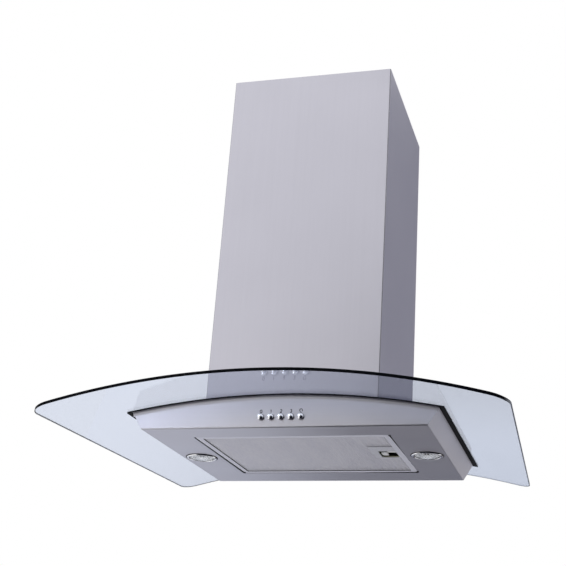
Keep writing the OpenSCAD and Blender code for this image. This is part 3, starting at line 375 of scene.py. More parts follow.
def painted_shade_edge(name, ends, sides):
    """The ground and polished edge, opaque and coloured with painted shade: near black where it faces front
    or back and grey at the sides, for the dark look of a glass edge seen end on. The part of the normal along
    x mixes the two, and fine noise across the edge is the trace of the wheel."""
    material, nodes, link, surface = new_material(name)
    surface.inputs["IOR"].default_value = 1.52
    surface.inputs["Specular IOR Level"].default_value = 0.04
    facing, split, size, share, tone = (
        nodes.new("ShaderNodeNewGeometry"), nodes.new("ShaderNodeSeparateXYZ"), nodes.new("ShaderNodeMath"),
        nodes.new("ShaderNodeMapRange"), nodes.new("ShaderNodeMix"),
    )
    size.operation = "ABSOLUTE"
    share.inputs["From Min"].default_value = 0.7
    share.inputs["From Max"].default_value = 1.0
    tone.data_type = "RGBA"
    tone.inputs[6].default_value = (*ends, 1.0)
    tone.inputs[7].default_value = (*sides, 1.0)
    link(facing.outputs["Normal"], split.inputs[0])
    link(split.outputs["X"], size.inputs[0])
    link(size.outputs[0], share.inputs["Value"])
    link(share.outputs["Result"], tone.inputs[0])
    link(tone.outputs[2], surface.inputs["Base Color"])
    uneven_gloss(nodes, link, surface, 400.0, (0.12, 0.28))
    return material


def arched_sheet(outer, inner, across, inset):
    """The canopy as a ring: its section runs over the upper face from hole to rim, over the ground edges and
    back under the lower face, and is carried round both outlines at once. A plan point x takes its height
    from the arch, axis height + square root of (radius squared - x squared)."""
    width = np.linalg.norm(outer - inner, axis=1)[:, None]
    spread = np.linspace(0, 1, across)[None]
    upper = inset / width + (1 - 2 * inset / width) * spread
    zero, one = np.zeros_like(width), np.ones_like(width)
    share = np.concatenate([upper, one, one, upper[:, ::-1], zero, zero], 1)
    top = np.concatenate([np.ones(across), [1, 0], np.zeros(across), [0, 1]])
    sink = np.concatenate([np.zeros(across), [-inset, inset], np.zeros(across), [inset, -inset]])
    plan = inner[:, None] + (outer - inner)[:, None] * share[..., None]
    radius = np.where(top > 0.5, glass_radius[1], glass_radius[0])[None]
    height = glass_axis + np.sqrt(radius**2 - plan[..., 0] ** 2) + sink[None]
    return np.concatenate([plan, height[..., None]], -1)


side_y = (glass_low.y, glass_high.y)
(front_half, front_round), (back_half, back_round) = glass_corners
outer_rim = rounded_outline(
    [(-front_half, side_y[0]), (front_half, side_y[0]), (back_half, side_y[1]), (-back_half, side_y[1])],
    (front_round, front_round, back_round, back_round), side_steps, corner_steps,
)
hole_rim = rounded_outline(
    [(-hole_half, -hole_half), (hole_half, -hole_half), (hole_half, hole_half), (-hole_half, hole_half)],
    (hole_corner,) * 4, side_steps, corner_steps,
)
canopy_points = arched_sheet(outer_rim, hole_rim, sheet_steps, ground_edge)
tinted_glass = clear_glass("tinted_glass", (0.74, 0.79, 0.905), 1.5, (0.0, 0.012))
# The edge's two colours are painted shade: near black at the front and back, grey at the sides.
glass_edge_painted_shade = painted_shade_edge("glass_edge_painted_shade", (0.001, 0.0015, 0.003), (0.20, 0.21, 0.24))
canopy = skin("canopy_glass", canopy_points, (True, True), tinted_glass, 20.0)
canopy.data.materials.append(glass_edge_painted_shade)
flank = np.zeros(len(canopy.data.polygons) * 3)
canopy.data.polygons.foreach_get("normal", flank)
canopy.data.polygons.foreach_set(
    "material_index", (np.abs(flank.reshape(-1, 3)[:, 2]) < sheet_upright).astype(np.int32)
)
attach(canopy, "hood")
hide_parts("glass_canopy")

# ---- Gaskets and clamp bushes --------------------------------------------------------------------
# A black rubber ring keeps the glass off the tray, and a second one lines the hole. Both are moulded, with
# the dull bloom that rubber takes. The bushes under the clamps look the same.


def dull_rubber(name, colour, rough, gleam):
    """Moulded rubber or plastic: noise lightens and dulls it in patches, and stands up as a fine bump."""
    material, nodes, link, surface = new_material(name)
    surface.inputs["Specular IOR Level"].default_value = gleam
    noise = uneven_gloss(nodes, link, surface, 300.0, rough)
    noise.inputs["Detail"].default_value = 4.0
    tone, bump = nodes.new("ShaderNodeMix"), nodes.new("ShaderNodeBump")
    tone.data_type = "RGBA"
    tone.inputs[6].default_value = (*[c * 0.7 for c in colour], 1.0)
    tone.inputs[7].default_value = (*[c * 1.3 for c in colour], 1.0)
    bump.inputs["Strength"].default_value = 0.3
    bump.inputs["Distance"].default_value = 0.00005
    link(noise.outputs["Fac"], tone.inputs[0])
    link(noise.outputs["Fac"], bump.inputs["Height"])
    link(tone.outputs[2], surface.inputs["Base Color"])
    link(bump.outputs["Normal"], surface.inputs["Normal"])
    return material


rubber = dull_rubber("rubber", (0.003, 0.003, 0.006), (0.45, 0.65), 0.08)
finish_parts(rubber, "glass_gasket", "cut_out_gasket", "clamp_bushes")

# ---- Tray ----------------------------------------------------------------------------------------
# The visible body under the glass, folded from one stainless blank: arched front and back, sloping ends and
# a flat underside with cut-outs. It is brushed along its length, and a hollow moulding fills the corner
# between its front and the gasket.

tray_steel = brushed_metal(
    "tray_steel", (0.570, 0.562, 0.614), (0.630, 0.622, 0.677), (18.0, 1500.0, 1500.0), (0.30, 0.40), 0.00002
)
finish_parts(tray_steel, "tray_body")

panel_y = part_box("tray_body")[0].y
underside_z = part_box("tray_body")[0].z
cove_out, cove_down, cove_half = 0.0055, 0.0085, 0.3045
gasket_t, cove_gap = 0.002, 0.0001


def cove(wall, reach, drop, half):
    """A hollow moulding in the corner between a wall and the gasket that stands out above it. Its section is
    a quarter ellipse, reach (1 - cos a) out from the wall and drop (1 - sin a) below the gasket, closed
    through the corner; it follows the tray's top edge along x, and shrinks to the corner at both ends."""
    section_steps, length_steps = 13, 97
    angle = np.linspace(0, math.pi / 2, section_steps)
    out = np.concatenate([reach * (1 - np.cos(angle)), [0.0]])
    down = np.concatenate([drop * (1 - np.sin(angle)), [0.0]])
    x = np.linspace(-half, half, length_steps)
    x = np.concatenate([[-half], x, [half]])
    size = np.ones_like(x)
    size[[0, -1]] = 0.0
    top = glass_axis + np.sqrt((glass_radius[0] - gasket_t) ** 2 - x**2) - cove_gap
    return np.stack([
        np.broadcast_to(x, (len(out), len(x))),
        wall - out[:, None] * size,
        top - down[:, None] * size,
    ], -1)


moulding = skin("cove_front", cove(panel_y, cove_out, cove_down, cove_half), (True, False), tray_steel)
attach(moulding, "hood")

# ---- Blower, motor and outlet --------------------------------------------------------------------
# The scrolls, the motor's body, its capacitor and the outlet are dull aluminium; the shaft and the flaps'
# spindle are bright; the wheel, the flaps, the cable's gland and the electric boxes are moulded plastic.

cast_aluminium = plain_metal("cast_aluminium", (0.60, 0.60, 0.62), (0.42, 0.55), 120.0)
finish_parts(cast_aluminium, "scroll_left", "scroll_right", "motor", "motor_capacitor", "duct_spigot")
finish_parts(bright_zinc, "motor_shaft", "flap_spindle")
black_plastic = dull_rubber("black_plastic", (0.022, 0.022, 0.026), (0.35, 0.5), 0.5)
finish_parts(
    black_plastic, "impeller", "flap_left", "flap_right", "cable_gland", "terminal_box",
    "lamp_transformer", "switch_block",
)

# ---- Grease filter -------------------------------------------------------------------------------
# An anodised aluminium rim holds three layers: a face of expanded mesh, a corrugated core and a plain back.
# The face's strands are slit and stretched from sheet and rolled nearly flat again. Black rubber beads line
# the rim's gaps to the tray and swell at the corners, and a black ring runs round the face; all are painted
# shade, dark pieces put where the gaps are in shade.

anodised = brushed_metal(
    "anodised", (0.68, 0.675, 0.75), (0.76, 0.755, 0.83), (30.0, 900.0, 900.0), (0.45, 0.55), 0.00002,
    metallic=0.6,
)
finish_parts(anodised, "filter_frame")
mesh_aluminium = brushed_metal(
    "mesh_aluminium", (0.68, 0.675, 0.77), (1.0, 0.985, 1.0), (300.0, 45.0, 300.0), (0.36, 0.48), 0.00002,
    metallic=0.7,
)
finish_parts(mesh_aluminium, "filter_mesh_core", "filter_mesh_back")

face_low, face_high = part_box("filter_mesh_face")
diamond = (0.0056, 0.0036)               # long and short way of one opening
strand_half = 0.00056
strand_edge, strand_ridge = 0.00016, 0.0001    # heights above the face's lowest point
pocket_low, pocket_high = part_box("latch_plate")


def expanded_mesh(low, high, pitch, half, keep_out):
    """Strands of expanded metal. Bonds lie where column + row is even; from each bond two strands run to the
    next column, one up and one down. A strand is two faces that meet in a ridge, like a roof: its edges are
    the line between the two bonds moved half a width each way, and the ridge is that line, a little lower."""
    columns = int((high[0] - low[0]) / (pitch[0] / 2))
    rows = int((high[1] - low[1]) / (pitch[1] / 2))
    i, j = np.meshgrid(np.arange(columns), np.arange(rows + 1), indexing="ij")
    even = (i + j) % 2 == 0
    i, j = i[even], j[even]
    corner = np.array([
        (low[0] + high[0] - columns * pitch[0] / 2) / 2, (low[1] + high[1] - rows * pitch[1] / 2) / 2
    ])
    step = np.array([pitch[0] / 2, pitch[1] / 2])
    strips = []
    for way in (-1, 1):
        inside = (j + way >= 0) & (j + way <= rows)
        a = corner + np.stack([i, j], 1)[inside] * step
        b = a + step * (1, way)
        middle = (a + b) / 2
        clear = ~(
            (middle[:, 0] > keep_out[0][0]) & (middle[:, 0] < keep_out[1][0])
            & (middle[:, 1] > keep_out[0][1]) & (middle[:, 1] < keep_out[1][1])
        )
        strips.append(np.stack([a[clear], b[clear]], 1))
    ends = np.concatenate(strips)
    along = ends[:, 1] - ends[:, 0]
    across = np.stack([-along[:, 1], along[:, 0]], 1) / np.linalg.norm(along, axis=1)[:, None] * half
    plan = np.stack([ends - across[:, None], ends, ends + across[:, None]], 1)
    height = low[2] + np.array([strand_edge, strand_ridge, strand_edge])
    height = np.broadcast_to(height[None, :, None, None], plan.shape[:3] + (1,))
    points = np.concatenate([plan, height], -1).reshape(-1, 3)
    first = np.arange(len(ends))[:, None] * 6
    faces = np.concatenate([first + (0, 1, 3, 2), first + (2, 3, 5, 4)], 0)
    return points, faces


mesh_points, mesh_faces = expanded_mesh(
    face_low, face_high, diamond, strand_half, (pocket_low, pocket_high)
)
face_mesh = bpy.data.meshes.new("filter_face")
face_mesh.from_pydata(mesh_points.tolist(), [], mesh_faces.tolist())
face_mesh.materials.append(mesh_aluminium)
filter_face = bpy.data.objects.new("filter_face", face_mesh)
bpy.context.scene.collection.objects.link(filter_face)
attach(filter_face, "filter")
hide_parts("filter_mesh_face")

rim_low, rim_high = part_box("filter_frame")
rim_half = rim_high.x                    # the box also holds the hinge tongues, at its low end
shade_bead_out = 0.0003                        # from the rim to the middle of a bead
rim_corner = {
    (i, j): np.array([i * (rim_half + shade_bead_out), y])
    for i in (-1, 1) for j, y in ((-1, rim_low.y - shade_bead_out), (1, rim_high.y + shade_bead_out))
}


def gap_shade_bead(first, last, widths, stops, lean, top, rows=301, columns=11):
    """A black bead that hangs from the height top between two corners of the filter: painted shade, a dark
    piece put in the gap along the rim where shade falls. Across, it is half an ellipse. Its half width w runs
    evenly from the first to the second of widths, but never falls under a least width, and swells near both
    ends to a stop, an ellipse in plan of the given half width and half length; the stops are dark spots of
    painted shade in the corner gaps. It is deep times w in depth, its middle lies lean w to the right of the
    line, and it comes to a point at both ends."""
    least, deep = 0.0001, 0.7
    t = np.linspace(0, 1, rows)
    length = np.linalg.norm(last - first)
    along = (last - first) / length
    across = np.array([along[1], -along[0]])
    half = np.maximum(widths[0] + (widths[1] - widths[0]) * t, least)
    for (wide, long), place in zip(stops, (stops[0][1], length - stops[1][1])):
        swell = np.clip(1 - ((t * length - place) / long) ** 2, 0, None)
        half = np.maximum(half, wide * np.sqrt(swell))
    half[[0, -1]] = 0.0
    angle = np.linspace(0, math.pi, columns)
    aside = half[:, None] * (lean + np.cos(angle))[None]
    plan = first + t[:, None, None] * (last - first) + aside[..., None] * across
    drop = top - deep * half[:, None] * np.sin(angle)[None]
    return np.concatenate([plan, drop[..., None]], -1)


under_tray = underside_z + 0.0003        # sunk a hair into the tray's sheet
# Each bead is a dark piece of painted shade in the gap between rim and tray; its stops are dark spots of
# painted shade in the corners.
for name, first, last, widths, stops, lean, top in (
    ("gap_shade_left", (-1, -1), (-1, 1), (0.0007, 0.0016), ((0.0012, 0.003), (0.0026, 0.006)), 1.3, rim_low.z),
    ("gap_shade_right", (1, -1), (1, 1), (0.0016, -0.0012), ((0.0026, 0.005), (0.0026, 0.005)), 0.0, under_tray),
    ("gap_shade_back", (-1, 1), (1, 1), (-0.0040, 0.0020), ((0.0010, 0.002), (0.0020, 0.004)), 0.0, under_tray),
):
    gap_shade_piece = skin(
        name, gap_shade_bead(rim_corner[first], rim_corner[last], widths, stops, lean, top), (False, True),
        rubber, 40.0,
    )
    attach(gap_shade_piece, "filter")

rim_wide = 0.013
window_x = pocket_high.x + 0.0001
window_front, window_back = rim_low.y + rim_wide, rim_high.y - rim_wide
# The ring round the mesh is painted shade, a black piece in the gap between the rim and the mesh; these lines
# give its widths on each side and its heights.
shade_ring_left, shade_ring_right, shade_ring_front, shade_ring_back = 0.0017, 0.0012, 0.0004, 0.0014    # widths
shade_ring_low, shade_ring_high = rim_low.z + 0.0004, rim_low.z + 0.0010


def ring(outer, inner, low, high):
    """A flat ring between two outlines of equal count. Its section has four corners: the upper face runs
    from outline to outline, the lower one only a given share of the way from the outer to the inner, and
    the inner side slopes between them."""
    share = 0.7
    rows = [(outer, high), (outer, low), (inner * share + outer * (1 - share), low), (inner, high)]
    return np.stack([np.concatenate([p, np.full((len(p), 1), z)], 1) for p, z in rows])


shade_ring_rims = [
    rounded_outline([(left, front), (right, front), (right, back), (left, back)], (0.001,) * 4, 8, 4)
    for left, right, front, back in (
        (-window_x, window_x, window_front, window_back),
        (-window_x + shade_ring_left, window_x - shade_ring_right, window_front + shade_ring_front, window_back - shade_ring_back),
    )
]
gap_shade_ring = skin("mesh_gap_shade", ring(*shade_ring_rims, shade_ring_low, shade_ring_high), (True, True), rubber, 40.0)
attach(gap_shade_ring, "filter")

# ---- Filter latch --------------------------------------------------------------------------------
# A pressed steel plate round a finger recess, which is a cup in olive zinc passivate, and a sprung slide
# whose bolt holds the filter up. The slide is worn bright by the fingers that pull it.

cup_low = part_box("latch_cup")[0]


def passivated(name, mouth_olive, recess_shade, mouth, deep):
    """Olive passivated steel, darker deep in the recess as painted shade: the colour runs from the first
    colour, the olive at the mouth, to the second, near black, as the height passes from mouth to deep. Noise
    moves the roughness between two near values."""
    material = plain_metal(name, mouth_olive, (0.32, 0.45), 150.0, 0.7)
    nodes, link = material.node_tree.nodes, material.node_tree.links.new
    place, split, depth, tone = (
        nodes.new("ShaderNodeTexCoord"), nodes.new("ShaderNodeSeparateXYZ"), nodes.new("ShaderNodeMapRange"),
        nodes.new("ShaderNodeMix"),
    )
    depth.inputs["From Min"].default_value = mouth
    depth.inputs["From Max"].default_value = deep
    tone.data_type = "RGBA"
    tone.inputs[6].default_value = (*mouth_olive, 1.0)
    tone.inputs[7].default_value = (*recess_shade, 1.0)
    link(place.outputs["Object"], split.inputs[0])
    link(split.outputs["Z"], depth.inputs["Value"])
    link(depth.outputs["Result"], tone.inputs[0])
    link(tone.outputs[2], nodes["Principled BSDF"].inputs["Base Color"])
    return material


# The cup's colour darkens to near black towards its deep end: painted shade in the recess.
passivate = passivated(
    "passivate", (0.62, 0.62, 0.44), (0.008, 0.008, 0.006), cup_low.z + 0.0006, cup_low.z + 0.0030
)
pressed_plate = plain_metal("pressed_plate", (0.62, 0.62, 0.67), (0.45, 0.60), 200.0, 0.6)
finish_parts(pressed_plate, "latch_plate")
finish_parts(passivate, "latch_cup")
slide_steel = plain_metal("slide_steel", (0.86, 0.86, 0.86), (0.30, 0.42), 200.0, 0.5)
finish_parts(slide_steel, "latch_slider")

spring_low, spring_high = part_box("latch_spring")
wire_half, latch_travel = 0.00035, 0.0036


def coil(low, high, wire, turns, steps=48, around=12):
    """Round wire on a helix along x that fills a box: with the angle a of the helix and b round the wire,
    the distance from the middle line is R + wire cos b, and x runs on evenly plus wire sin b. The wire
    tapers to a point over the first and last two steps."""
    count = turns * steps
    i = np.arange(count + 1)[:, None]
    size = wire * np.clip(np.minimum(i, count - i) / 2, 0, 1)
    a, b = i * (2 * math.pi / steps), np.arange(around)[None] * (2 * math.pi / around)
    reach = (high.y - low.y) / 2 - wire + size * np.cos(b)
    x = low.x + wire + (high.x - low.x - 2 * wire) * i / count + size * np.sin(b)
    return np.stack([
        x, (low.y + high.y) / 2 + reach * np.cos(a), (low.z + high.z) / 2 + reach * np.sin(a),
    ], -1)


spring = skin("coil_spring", coil(spring_low, spring_high, wire_half, 6), (False, True), slide_steel, 60.0)
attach(spring, "filter")
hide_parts("latch_spring")
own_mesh(spring)

# ---- Lamps ---------------------------------------------------------------------------------------
# Two recessed halogen lamps. A chromed ring holds a clear lens; behind it sit a bright faceted reflector and
# a small bulb. A black rubber washer round the ring, against the tray, is painted shade: a dark piece put
# where the gap round the ring is in shade.

chrome = plain_metal("chrome", (0.92, 0.92, 0.94), (0.03, 0.07), 80.0)
mirror = plain_metal("mirror", (0.98, 0.98, 0.99), (0.03, 0.06), 60.0)
lamp_glass = clear_glass("lamp_glass", (0.97, 0.98, 0.99), 1.46, (0.0, 0.01))
finish_parts(chrome, "lamp_bezel_left", "lamp_bezel_right")
facet_rows, facet_columns = 5, 20
lens_play, lens_drop, lens_sag = 0.0001, 0.0017, 0.0006
rib_count, rib_rise = 24, 0.00022
gap_shade_out, gap_shade_half = 0.0003, 0.0012
bowl_throat = 0.0075


def turned(profile, centre, steps):
    """A profile of (radius, height) points carried once round the upright line through centre."""
    profile = np.asarray(profile, float)
    angle = np.arange(steps) * (2 * math.pi / steps)
    around, up = profile[:, None, 0], np.broadcast_to(profile[:, None, 1], (len(profile), steps))
    return np.stack([around * np.cos(angle), around * np.sin(angle), up], -1) + np.asarray(centre, float)


def ribbed_lens(centre, radius, drop, sag, thick, ribs, rise):
    """A moulded lens. At share s of its radius its lower face hangs drop + sag (1 - s^2) below centre, less
    a ripple rise s^2 cos(ribs a) that runs round with the angle a; its upper face is flat."""
    out_steps, back_steps, around = 17, 5, 240
    share = np.concatenate([np.linspace(0, 1, out_steps), np.linspace(1, 0, back_steps)])[:, None]
    lower = np.arange(len(share))[:, None] < out_steps
    angle = np.arange(around)[None] * (2 * math.pi / around)
    height = np.where(lower, rise * share**2 * np.cos(ribs * angle) - sag * (1 - share**2) - drop, thick)
    return np.stack([
        centre[0] + radius * share * np.cos(angle), centre[1] + radius * share * np.sin(angle),
        centre[2] + height,
    ], -1)


def faceted_bowl(centre, mouth, throat, depth, rows, columns):
    """A reflector bowl of flat facets. At share s of the depth the radius is
    throat + (mouth - throat) times the square root of (1 - s^1.6), which is a dish; every second row is
    turned by half a facet."""
    fullness = 1.6
    share = np.linspace(0, 1, rows + 1)
    radius = throat + (mouth - throat) * np.sqrt(1 - share**fullness)
    angle = np.arange(columns) * (2 * math.pi / columns)
    turn = (np.arange(rows + 1) % 2)[:, None] * (math.pi / columns)
    angle = angle[None] + turn
    return np.stack(
        [centre[0] + radius[:, None] * np.cos(angle), centre[1] + radius[:, None] * np.sin(angle),
         np.broadcast_to((centre[2] + depth * share)[:, None], angle.shape)], -1,
    )


for side in ("left", "right"):
    lens_low, lens_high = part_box(f"lamp_lens_{side}")
    ring_low, ring_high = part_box(f"lamp_bezel_{side}")
    lens_x, lens_y = (lens_low.x + lens_high.x) / 2, (lens_low.y + lens_high.y) / 2
    ring_radius = (ring_high.x - ring_low.x) / 2
    lens = skin(
        f"moulded_lens_{side}",
        ribbed_lens(
            (lens_x, lens_y, lens_low.z), (lens_high.x - lens_low.x) / 2 - lens_play, lens_drop,
            lens_sag, lens_high.z - lens_low.z, rib_count, rib_rise,
        ),
        (False, True), lamp_glass, 40.0,
    )
    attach(lens, "hood")
    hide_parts(f"lamp_lens_{side}")
    # The black washer round each ring is painted shade, for the shadow in the gap between ring and tray.
    turn = np.linspace(0, math.pi, 9)
    gap_shade_washer = skin(
        f"lamp_gap_shade_{side}",
        turned(
            np.stack([
                ring_radius + gap_shade_out + gap_shade_half * np.cos(turn), -gap_shade_half * np.sin(turn),
            ], 1),
            (lens_x, lens_y, underside_z), 96,
        ),
        (True, True), rubber, 40.0,
    )
    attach(gap_shade_washer, "hood")
    bowl_low, bowl_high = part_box(f"lamp_reflector_{side}")
    bowl_x, bowl_y = (bowl_low.x + bowl_high.x) / 2, (bowl_low.y + bowl_high.y) / 2
    bowl_radius = (bowl_high.x - bowl_low.x) / 2
    bowl = skin(
        f"reflector_facets_{side}",
        faceted_bowl(
            (bowl_x, bowl_y, bowl_low.z), bowl_radius, bowl_throat, bowl_high.z - bowl_low.z,
            facet_rows, facet_columns,
        ),
        (False, True), mirror, 1.0,
    )
    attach(bowl, "hood")
    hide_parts(f"lamp_reflector_{side}")
finish_parts(lamp_glass, "lamp_bulb_left", "lamp_bulb_right")

# ---- Push buttons --------------------------------------------------------------------------------
# Five chromed buttons with domed caps, which stand out of round holes in the tray's front. The mark of its
# setting is printed above each: 0 to 3 for the fan, and a bulb.

for number in range(1, 6):
    finish_parts(chrome, f"button_{number}")

mark_ink = dull_rubber("mark_ink", (0.01, 0.01, 0.013), (0.40, 0.55), 0.2)
mark_rise, mark_width = 0.0112, 0.0013    # above a button's middle, and the width of a stroke
mark_unit = 0.0014                       # one unit of the drawn marks
ink_y = panel_y - 0.00005                # the marks' face, just off the panel


def bow(centre, radius, first, last, steps=17):
    """Points on a circle from one angle to another, in degrees."""
    angle = np.radians(np.linspace(first, last, steps))
    return np.stack([centre[0] + radius * np.cos(angle), centre[1] + radius * np.sin(angle)], 1)


def stroke(line, width):
    """A flat stroke of a printed mark: the line's points moved half its width to both sides."""
    along = np.gradient(line, axis=0)
    along /= np.linalg.norm(along, axis=1)[:, None]
    across = np.stack([-along[:, 1], along[:, 0]], 1) * width / 2
    return np.stack([line - across, line + across], 1)


nought = bow((0, 0), 2.1, 0, 360, 25) * (0.68, 1.0)
one = np.array([(-0.9, 1.3), (0.0, 2.1), (0.1, 1.9), (0.1, -2.1)])
two = np.concatenate([bow((0, 0.9), 1.25, 165, -35), [(-1.3, -2.0), (-1.2, -2.1), (1.4, -2.1)]])
three = np.concatenate([bow((0, 1.05), 1.05, 150, -80), bow((0, -1.0), 1.15, 80, -150)])
bulb = np.concatenate([bow((0, 0.7), 2.0, -50, 230, 25), [(-0.9, -1.5)]])
cap_line = np.array([(-0.9, -2.3), (0.9, -2.3)])
mark_points, mark_faces, mark_count = [], [], 0
for number, lines in enumerate(((nought,), (one,), (two,), (three,), (bulb, cap_line)), 1):
    low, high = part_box(f"button_{number}")
    for line in lines:
        band = stroke(line * mark_unit, mark_width).reshape(-1, 2) + (
            (low.x + high.x) / 2, (low.z + high.z) / 2 + mark_rise
        )
        first = mark_count + 2 * np.arange(len(line) - 1)[:, None]
        mark_faces.append(first + (0, 2, 3, 1))
        mark_points.append(np.stack([band[:, 0], np.full(len(band), ink_y), band[:, 1]], 1))
        mark_count += len(band)
mark_mesh = bpy.data.meshes.new("button_marks")
mark_mesh.from_pydata(
    np.concatenate(mark_points).tolist(), [], np.concatenate(mark_faces).tolist()
)
mark_mesh.materials.append(mark_ink)
button_marks = bpy.data.objects.new("button_marks", mark_mesh)
bpy.context.scene.collection.objects.link(button_marks)
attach(button_marks, "hood")

# ---- Room ----------------------------------------------------------------------------------------
# A plain pale floor well below the hood, two soft lamps, a white background, and boards that show only in
# reflections.


def flat(name, centre, across, up, material):
    """A rectangle from its centre and its two half sides: its corners are centre +- across +- up. It belongs
    to the room, not to the hood."""
    centre, across, up = (np.asarray(v, float) for v in (centre, across, up))
    low, high = centre - up, centre + up
    points = np.array([[low - across, low + across], [high - across, high + across]])
    mesh = bpy.data.meshes.new(name)
    mesh.from_pydata(points.reshape(-1, 3).tolist(), [], [(0, 1, 3, 2)])
    mesh.materials.append(material)
    made = bpy.data.objects.new(name, mesh)
    bpy.context.scene.collection.objects.link(made)
    return made


floor_z, floor_half = -2.4, 30
floor_paint, *_, surface = new_material("floor_paint")
surface.inputs["Base Color"].default_value = (0.86, 0.86, 0.87, 1.0)
surface.inputs["Roughness"].default_value = 0.7
flat("floor", (0, 0, floor_z), (floor_half, 0, 0), (0, floor_half, 0), floor_paint)


def flag(name, centre, across, up, near, far, between, top=None, rise=(0.0, 1.0)):
    """A board beside the hood that shows only in reflections. Its colour runs from near to far as x passes
    between two places, and from there to top as z passes through rise."""
    paint, nodes, link, surface = new_material(name)
    nodes.remove(surface)
    place, split, glow = (
        nodes.new("ShaderNodeTexCoord"), nodes.new("ShaderNodeSeparateXYZ"), nodes.new("ShaderNodeEmission"),
    )
    link(place.outputs["Object"], split.inputs[0])
    reached = None
    for axis, colour, (start, stop) in (("X", far, between), ("Z", top, rise)):
        if colour is None:
            continue
        share, tone = nodes.new("ShaderNodeMapRange"), nodes.new("ShaderNodeMix")
        share.interpolation_type = "SMOOTHSTEP"
        share.inputs["From Min"].default_value = start
        share.inputs["From Max"].default_value = stop
        tone.data_type = "RGBA"
        tone.inputs[6].default_value = (*near, 1.0)
        tone.inputs[7].default_value = (*colour, 1.0)
        if reached:
            link(reached, tone.inputs[6])
        link(split.outputs[axis], share.inputs["Value"])
        link(share.outputs["Result"], tone.inputs[0])
        reached = tone.outputs[2]
    link(reached, glow.inputs["Color"])
    link(glow.outputs[0], nodes["Material Output"].inputs["Surface"])
    board = flat(name, centre, across, up, paint)
    board.visible_camera = False
    board.visible_diffuse = False
    board.visible_transmission = False
    board.visible_shadow = False


for board in (
    ("flag_back_low", (0.15, 3.0, -1.665), (4.05, 0, 0), (0, 0, 0.715), (0.67, 0.69, 0.77),
     (0.045, 0.03, 0.035), (-1.40, -0.50), (0.39, 0.43, 0.54), (-1.58, -1.30)),
    ("flag_back_middle", (1.7, 3.0, -0.55), (2.5, 0, 0), (0, 0, 0.4), (0.31, 0.32, 0.38),
     (0.61, 0.59, 0.60), (0.0, 0.8)),
    ("flag_back_right", (2.4, 2.98, -1.175), (1.9, 0, 0), (0, 0, 0.225), (0.56, 0.56, 0.60),
     (0.56, 0.56, 0.60), (0.0, 1.0)),
    ("flag_back_high", (2.0, 3.0, 1.025), (2.2, 0, 0), (0, 0, 1.175), (0.28, 0.28, 0.33),
     (0.28, 0.28, 0.33), (0.0, 1.0)),
    ("flag_floor", (0.3, -0.8, -2.38), (3.3, 0, 0), (0, 2.1, 0), (1.0, 1.0, 1.0),
     (0.012, 0.012, 0.02), (-1.10, -0.70)),
    ("flag_front_low", (0.3, -2.9, -1.615), (3.3, 0, 0), (0, 0, 0.765), (0.95, 0.95, 0.97),
     (0.03, 0.03, 0.04), (-1.2, -0.5)),
    ("flag_front_middle", (0.9, -2.9, -0.335), (2.3, 0, 0), (0, 0, 0.515), (1.0, 0.985, 0.95),
     (0.05, 0.05, 0.055), (-0.82, 0.20)),
    ("flag_front_high", (0.9, -3.1, 0.75), (2.0, 0, 0), (0, 0, 0.6), (0.72, 0.72, 0.74),
     (1.0, 1.0, 1.0), (-1.2, 0.0)),
    ("flag_front_right", (1.3, -2.8, 1.05), (0.9, 0, 0), (0, 0, 1.95), (0.30, 0.30, 0.32),
     (0.012, 0.012, 0.02), (0.4, 0.6)),
    ("flag_right", (2.2, -1.9, -1.05), (0, 0.9, 0), (0, 0, 1.3), (0.012, 0.012, 0.02),
     (0.012, 0.012, 0.02), (0.0, 1.0)),
):
    flag(*board)

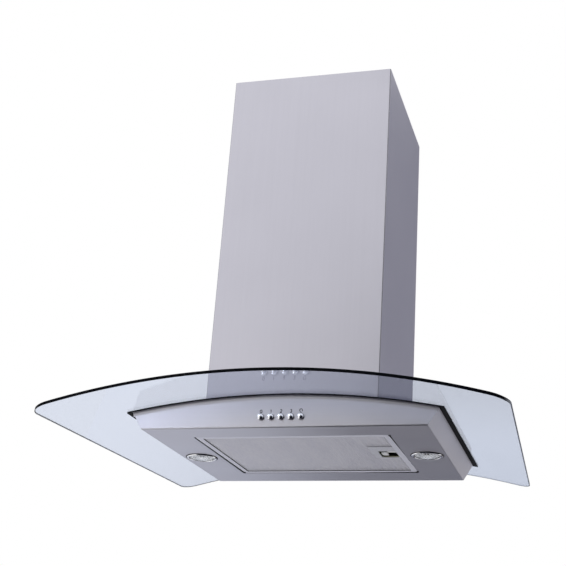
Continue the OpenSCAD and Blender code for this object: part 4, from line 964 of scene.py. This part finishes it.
world = bpy.data.worlds.new("studio")
bpy.context.scene.world = world
world.use_nodes = True
nodes, link = world.node_tree.nodes, world.node_tree.links.new
nodes.clear()
path, seen, either, soft, white, pick, out = (
    nodes.new("ShaderNodeLightPath"), nodes.new("ShaderNodeMath"), nodes.new("ShaderNodeMath"),
    nodes.new("ShaderNodeBackground"), nodes.new("ShaderNodeBackground"), nodes.new("ShaderNodeMixShader"),
    nodes.new("ShaderNodeOutputWorld"),
)
seen.operation = "MAXIMUM"
either.operation = "MAXIMUM"
soft.inputs["Color"].default_value = (0.97, 0.98, 1.0, 1.0)
soft.inputs["Strength"].default_value = 0.7
white.inputs["Color"].default_value = (1.0, 1.0, 1.0, 1.0)
white.inputs["Strength"].default_value = 1.0
link(path.outputs["Is Camera Ray"], seen.inputs[0])
link(path.outputs["Is Glossy Ray"], seen.inputs[1])
link(seen.outputs[0], either.inputs[0])
link(path.outputs["Is Transmission Ray"], either.inputs[1])
link(either.outputs[0], pick.inputs[0])
link(soft.outputs[0], pick.inputs[1])
link(white.outputs[0], pick.inputs[2])
link(pick.outputs[0], out.inputs["Surface"])


def lamp(name, place, target, size, power):
    """A square soft lamp that faces a point of the hood."""
    light = bpy.data.lights.new(name, "AREA")
    light.size = size
    light.energy = power
    made = bpy.data.objects.new(name, light)
    made.visible_glossy = False
    made.location = place
    made.rotation_euler = (Vector(target) - Vector(place)).to_track_quat("-Z", "Y").to_euler()
    bpy.context.scene.collection.objects.link(made)


lamp("key_lamp", (-2.6, -2.8, 0.9), (0, 0, -0.6), 1.6, 60.0)
lamp("fill_lamp", (2.8, 1.8, 0.8), (0, 0, -0.6), 1.6, 20.0)

# ---- Camera --------------------------------------------------------------------------------------
# It stands low in front of the hood, to its right, and looks up at it.

camera_place = (0.63953, -2.24935, -1.36575)
camera_data = bpy.data.cameras.new("camera")
camera_data.sensor_width = 36.0
camera_data.lens = 72.243
camera_data.shift_x = -0.0919
camera = bpy.data.objects.new("camera", camera_data)
yaw, pitch, roll = -0.2647, 0.3826, 0.0543
ahead = Vector((math.sin(yaw) * math.cos(pitch), math.cos(yaw) * math.cos(pitch), math.sin(pitch)))
level = Vector((math.cos(yaw), -math.sin(yaw), 0.0))
above = level.cross(ahead)
right = math.cos(roll) * level + math.sin(roll) * above
over = math.cos(roll) * above - math.sin(roll) * level
camera.matrix_world = Matrix.Translation(camera_place) @ Matrix(
    (right, over, -ahead)
).transposed().to_4x4()
bpy.context.scene.collection.objects.link(camera)
bpy.context.scene.camera = camera
bpy.context.scene.view_settings.view_transform = "Standard"
